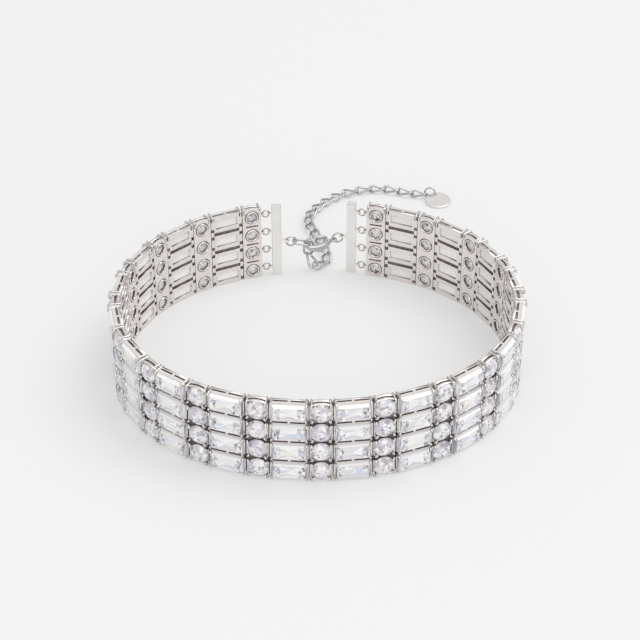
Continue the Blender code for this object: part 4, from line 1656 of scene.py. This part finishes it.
@dataclass
class Clasp:
    """Lobster clasp: eye, body, hook, and a lever that turns on a pin between two cheeks."""

    eye: Vector = field(default_factory=lambda: Vector((6.183, 52.785, 11.427)))
    x_axis: Vector = field(default_factory=lambda: Vector((-0.98374, -0.12164, -0.1321)))
    y_axis: Vector = field(default_factory=lambda: Vector((0.12272, -0.99244, 0.0)))
    eye_radius: float = 0.95
    eye_wire: float = 0.7
    far: float = 8.85
    belly: float = 1.35
    hook: float = 0.65
    flatness: float = 0.62
    pivot: tuple[float, float] = (2.3, 0.8)
    cheek_radius: float = 0.62
    cheek_foot: float = -0.9
    cheek_near: float = 0.52
    cheek_thickness: float = 0.3
    pin_radius: float = 0.26
    pin_length: float = 1.72
    knuckle_radius: float = 0.6
    knuckle_length: float = 0.8
    lever_gap: float = 0.2

    def place(self) -> Matrix:
        """Place of the clasp, with its X from the eye towards the hook."""
        return facing(self.eye, self.x_axis, self.y_axis)

    def pivot_place(self) -> Matrix:
        """Place of the pin's middle within the clasp."""
        return Matrix.Translation((self.pivot[0], 0.0, self.pivot[1]))

    def spine(self) -> list[tuple[float, float, float]]:
        """Line of the body round to the hook's tip.

        Returns:
            Stations of distance along, height and half-thickness.
        """
        far, belly, hook = self.far, self.belly, self.hook
        return [(self.eye_radius * 1.1, 0.0, 0.45 * belly), (0.21 * far, -0.5 * belly, 0.72 * belly),
                (0.35 * far, -1.12 * belly, 0.94 * belly), (0.52 * far, -1.42 * belly, belly),
                (0.70 * far, -1.36 * belly, 0.94 * belly), (0.87 * far, -belly, 0.74 * belly),
                (0.975 * far, -0.36 * belly, 0.48 * belly), (far, 0.38 * belly, hook),
                (0.955 * far, 1.05 * belly, 0.85 * hook), (0.87 * far, 1.45 * belly, 0.72 * hook),
                (0.79 * far, 1.56 * belly, 0.62 * hook)]

    def tube(self, stations: Sequence[tuple[float, float, float]], flatness: float, sides: int) -> Part:
        """Builds a smooth tube in the clasp's plane.

        Args:
            stations: Distance along, height and half-thickness at each station.
            flatness: Thickness across the plane as a part of that within it.
            sides: Number of sides.

        Returns:
            The tube.
        """
        line = smooth_line([Vector(station) for station in stations], 5)
        points = [(Vector((point.x, 0.0, point.y)), point.z, point.z * flatness) for point in line]
        return in_place(swept(points, OUTWARD, sides))

    def body_mesh(self, trees: Trees, finish: bpy.types.Material) -> bpy.types.Mesh:
        """Builds the body with its hook, eye, cheeks and pin.

        Args:
            trees: Trees that make the eye's wire.
            finish: Material of the wire.

        Returns:
            The body.
        """
        size = 2 * self.eye_radius + self.eye_wire
        along, up = self.pivot
        radius, foot = self.cheek_radius, self.cheek_foot
        outline = [(along + radius * math.cos(angle), up + radius * math.sin(angle))
                   for angle in (math.radians(20 * step - 10) for step in range(11))]
        outline += [(along - radius, foot), (along + radius, foot)]
        cheeks = [standing_plate([outline], near, self.cheek_thickness, EDGE)
                  for near in (-self.cheek_near - self.cheek_thickness, self.cheek_near)]
        pin = cylinder("pin", self.pin_radius, self.pin_length, 14)
        eye = trees.wires.links([UNMOVED], size, size, self.eye_wire, finish)
        return joined("clasp_body", [self.tube(self.spine(), self.flatness, 16), in_place(eye), *cheeks,
                                     (pin, self.pivot_place(), Slot.METAL)])

    def lever_mesh(self) -> bpy.types.Mesh:
        """Builds the lever with its knuckle.

        Returns:
            The lever.
        """
        tip_along, tip_up, tip_half = self.spine()[-1]
        end_along = tip_along - tip_half - self.lever_gap - self.pivot[0]
        end_up = tip_up - self.pivot[1]
        stations = [(0.0, 0.0, 0.42), (0.25 * end_along, 0.72 * end_up, 0.48),
                    (0.6 * end_along, 1.08 * end_up, 0.46), (end_along, end_up, 0.4)]
        knuckle = cylinder("knuckle", self.knuckle_radius, self.knuckle_length, 20)
        return moved(joined("clasp_lever", [self.tube(stations, 1.0, 12), in_place(knuckle)]),
                     self.pivot_place())

    def build(self, trees: Trees, finish: bpy.types.Material) -> list[Piece]:
        """Builds the clasp's two pieces.

        Args:
            trees: Trees that make the eye's wire.
            finish: Material of the clasp.

        Returns:
            The body and the lever.
        """
        body = moved(self.body_mesh(trees, finish), self.place())
        lever = moved(self.lever_mesh(), self.place())
        return [Piece("lobster_body", body, (finish,), ("clasp_body",)),
                Piece("lobster_lever", lever, (finish,), ("clasp_lever",), LEVER_BODY)]


@dataclass
class ExtensionChain:
    """Oval links from the hooked link over the table to the end ring, and the plain end disc.

    The rolls are those of the two links that hang down. A link whose level part is under least_level
    keeps the side of the link before it.
    """

    length: float = 6.27
    width: float = 3.6
    wire: float = 0.8
    bite: float = 0.25
    twist: float = math.radians(-80.0)
    hanging_rolls: tuple[float, float] = (math.radians(90.0), math.radians(-55.0))
    rest: float = 1.3
    least_level: float = 0.5
    hooked_middle: Vector = field(default_factory=lambda: Vector((-3.949, 51.885, 11.164)))
    towards: Vector = field(default_factory=lambda: Vector((0.95525, 0.11812, -0.27121)))
    back: Vector = field(default_factory=lambda: Vector((-0.12272, 0.99244, 0.0)))
    top: Vector = field(default_factory=lambda: Vector((-1.67, 52.932, 10.763)))
    hang: Vector = field(default_factory=lambda: Vector((-0.0182, 0.14722, -0.98894)))
    route: tuple[tuple[float, float], ...] = (
        (0.3, 52.8), (4.0, 55.6), (4.4, 59.9), (3.5, 64.4), (2.1, 69.0), (0.6, 73.5), (-0.9, 77.8),
        (-1.5, 82.3),
        (-0.2, 86.7), (2.5, 91.2), (6.2, 95.4), (11.0, 99.2), (16.0, 101.5), (21.5, 102.5), (27.2, 101.9),
        (31.8, 100.0), (36.5, 98.6), (43.0, 98.1))
    disc_diameter: float = 8.6
    disc_thickness: float = 0.8
    disc_edge: float = 0.2
    disc_hole: float = 1.65
    disc_rim: float = 0.5
    disc_centre: Vector = field(default_factory=lambda: Vector((43.302, 94.855, 0.882)))
    disc_axis: Vector = field(default_factory=lambda: Vector((-0.37224, 0.92134, 0.11213)))
    disc_side: Vector = field(default_factory=lambda: Vector((-0.92718, -0.37461, 0.0)))

    def contacts(self) -> list[Vector]:
        """Places where neighbouring links touch, one pitch apart.

        Returns:
            The places, from the hooked link to the end.
        """
        pitch = self.length - 2 * self.wire + self.bite
        floor = [Vector((x, y, self.rest)) for x, y in self.route]
        curve = smooth_line([self.top, self.top + self.hang * pitch, *floor], 24)
        curve = [Vector((point.x, point.y, max(point.z, self.rest))) for point in curve]
        found = [curve[0]]
        for start, end in zip(curve, curve[1:]):
            while (end - found[-1]).length >= pitch:
                share = turning_point(0.0, 1.0, lambda s: (start.lerp(end, s) - found[-1]).length < pitch)
                start = start.lerp(end, share)
                found.append(start)
        return found

    def link_place(self, start: Vector, end: Vector, side: Vector, roll: float) -> Matrix:
        """Place of a link between two contacts.

        Args:
            start: Contact with the link before.
            end: Contact with the link after.
            side: Direction near the link's own width.
            roll: Angle that the link is rolled about its length.

        Returns:
            The matrix of the place.
        """
        x_axis = (end - start).normalized()
        level = (side - x_axis * side.dot(x_axis)).normalized()
        return facing((start + end) / 2, x_axis, level) @ Matrix.Rotation(roll, 4, "X")

    def places(self) -> list[Matrix]:
        """Places of all the links.

        Returns:
            The matrices, the hooked link's first.
        """
        start, end = self.hooked_middle - self.towards, self.hooked_middle + self.towards
        found = [self.link_place(start, end, self.back, 0.0)]
        side = self.back
        contacts = self.contacts()
        for index, (start, end) in enumerate(zip(contacts, contacts[1:])):
            level = (end - start).normalized().cross(UP)
            if level.length > self.least_level:
                side = level.normalized() if level.dot(side) > 0 else -level.normalized()
            roll = self.hanging_rolls[index] if index < len(self.hanging_rolls) else 0.0
            found.append(self.link_place(start, end, side, roll))
        return found

    def disc_mesh(self) -> bpy.types.Mesh:
        """Builds the plain disc with a rounded edge and a small hole.

        Returns:
            The disc at its place.
        """
        hole = self.disc_diameter / 2 - self.disc_rim - self.disc_hole / 2
        outlines = [circle(self.disc_diameter / 2, 64), circle(self.disc_hole / 2, 20, (hole, 0.0))]
        place = facing(self.disc_centre, self.disc_axis, self.disc_side)
        return moved(flat_plate(outlines, self.disc_thickness, self.disc_edge), place)

    def build(self, trees: Trees, finish: bpy.types.Material, plate: bpy.types.Material) -> list[Piece]:
        """Builds the chain and its disc.

        Args:
            trees: Trees that make the wire.
            finish: Material of the wire.
            plate: Material of the disc.

        Returns:
            The chain and the disc.
        """
        places = self.places()
        sizes = (self.length, self.width, self.wire, finish)
        plain = trees.wires.links(places[:2], *sizes)
        curb = trees.wires.links(places[2:], *sizes, self.twist)
        links = joined("chain", [in_place(plain), in_place(curb)])
        return [Piece("curb_link_chain", links, (finish,), ("extension_chain",)),
                Piece("plain_end_disc", self.disc_mesh(), (plate,), ("end_disc",))]


# Studio


@dataclass(frozen=True)
class Softbox:
    """Soft rectangular lamp aimed at the necklace, with its place and size in metres."""

    name: str
    place: tuple[float, float, float]
    size: tuple[float, float]
    power: float
    colour: str = WHITE_LIGHT

    def add(self) -> None:
        """Adds the lamp."""
        data = bpy.data.lights.new(self.name, "AREA")
        data.shape = "RECTANGLE"
        data.size, data.size_y = self.size
        data.energy = self.power
        data.color = linear(self.colour)[:3]
        item = bpy.data.objects.new(self.name, data)
        item.location = self.place
        item.rotation_euler = (-Vector(self.place)).to_track_quat("-Z", "Y").to_euler()
        bpy.context.scene.collection.objects.link(item)


@dataclass
class Studio:
    """Light table, soft lamps at the right, above and in front, a bright room, and the photo's camera."""

    camera_place: Vector = field(default_factory=lambda: Vector((-8.52, -430.21, 308.86)))
    camera_target: Vector = field(default_factory=lambda: Vector((1.36, 24.17, 0.0)))
    lens: float = 100.0
    sensor: float = 36.0
    floor_size: float = 60.0
    room_light: float = 1.0
    room: tuple[tuple[float, str], ...] = (
        (0.0, "#303032"), (0.08, "#86868A"), (0.18, "#C6C6C6"), (0.46, "#D2D2D2"), (0.54, WHITE_LIGHT),
        (0.62, WHITE_LIGHT), (0.7, "#D2D2D2"))
    lamps: tuple[Softbox, ...] = (
        Softbox("right_softbox", (1.2, 0.3, 2.2), (1.8, 1.8), 25.0, "#FFFEFD"),
        Softbox("top_softbox", (-0.2, -0.4, 2.6), (2.4, 2.4), 12.0),
        Softbox("front_fill", (0.0, -1.3, 0.5), (1.4, 0.7), 4.5))

    def camera(self) -> None:
        """Adds the camera."""
        data = bpy.data.cameras.new("camera")
        data.lens = self.lens
        data.sensor_width = self.sensor
        item = bpy.data.objects.new("camera", data)
        place, target = TO_ROW @ self.camera_place, TO_ROW @ self.camera_target
        item.location = place
        item.rotation_euler = (target - place).to_track_quat("-Z", "Y").to_euler()
        bpy.context.scene.collection.objects.link(item)
        bpy.context.scene.camera = item

    def floor(self) -> None:
        """Adds the table's top."""
        shape = bmesh.new()
        bmesh.ops.create_grid(shape, x_segments=4, y_segments=4, size=self.floor_size / 2)
        item = bpy.data.objects.new("floor", mesh_from(shape, "floor"))
        item.data.materials.append(LightTable().material())
        bpy.context.scene.collection.objects.link(item)

    def world(self) -> None:
        """Sets a bright room that is darker below the horizon and brightest just above it."""
        world = bpy.data.worlds.new("studio")
        world.use_nodes = True
        tree = world.node_tree
        tree.nodes.clear()
        place = node(tree, "ShaderNodeTexCoord").outputs["Generated"]
        split = node(tree, "ShaderNodeSeparateXYZ", {0: place})
        ramp = node(tree, "ShaderNodeValToRGB", {0: split.outputs["Z"]}).outputs["Color"]
        bands = ramp.node.color_ramp.elements
        while len(bands) < len(self.room):
            bands.new(0.5)
        for band, (height, code) in zip(bands, self.room):
            band.position = height
            band.color = linear(code)
        light = node(tree, "ShaderNodeBackground", {"Color": ramp}, {"Strength": self.room_light})
        node(tree, "ShaderNodeOutputWorld", {"Surface": light.outputs[0]})
        bpy.context.scene.world = world

    def build(self) -> None:
        """Builds the whole studio."""
        self.camera()
        self.floor()
        for lamp in self.lamps:
            lamp.add()
        self.world()
        view = bpy.context.scene.view_settings
        view.view_transform = "Standard"
        view.look = "None"


def main() -> None:
    """Builds the necklace and the studio."""
    logging.basicConfig(level=logging.INFO, format="%(name)s: %(message)s")
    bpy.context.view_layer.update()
    setting_metal = PlatedMetal("rhodium_plated_setting").material()
    # Darker copy of the same plate for the rings, clasp and chain: its darkness is painted shade.
    shaded_wire_metal = PlatedMetal("shaded_rhodium_plated_wire", light="#D2D1D1", deep="#A9A7A7",
                             roughness=0.12).material()
    # Slightly darker copy of the plate for the claws and edge wires: painted shade.
    shaded_claw_metal = PlatedMetal("shaded_rhodium_plated_claws", light="#EEECEB", deep="#CBC8C7",
                             roughness=0.10).material()
    # Lighter copy of the plate for the end bars and the disc: its extra brightness is painted light.
    lit_bar_metal = PlatedMetal("lit_polished_rhodium_plate", light="#F6F4F2", deep="#E6E3E0", roughness=0.17,
                            haze=0.06, haze_size_mm=4.0, line_depth=0.06).material()
    crystal = CutCrystal("cut_crystal").material()
    recess = PaintedShadeRecess().material()
    trees = Trees()
    band = Band((setting_metal, crystal, recess, shaded_claw_metal))
    pieces = band.build(trees)
    pieces.append(EndBar("left", Vector((-11.804, 50.944, 0.0)), 0.0, 1).build(lit_bar_metal))
    pieces.append(EndBar("right", Vector((12.027, 52.087, 0.0)), math.radians(-20.0), -1).build(lit_bar_metal))
    pieces.extend(end_rings(band.sizes, trees, shaded_wire_metal))
    pieces.extend(Clasp().build(trees, shaded_wire_metal))
    pieces.extend(ExtensionChain().build(trees, shaded_wire_metal, lit_bar_metal))
    for piece in pieces:
        piece.finish()
    Studio().build()


if __name__ == "__main__":
    main()
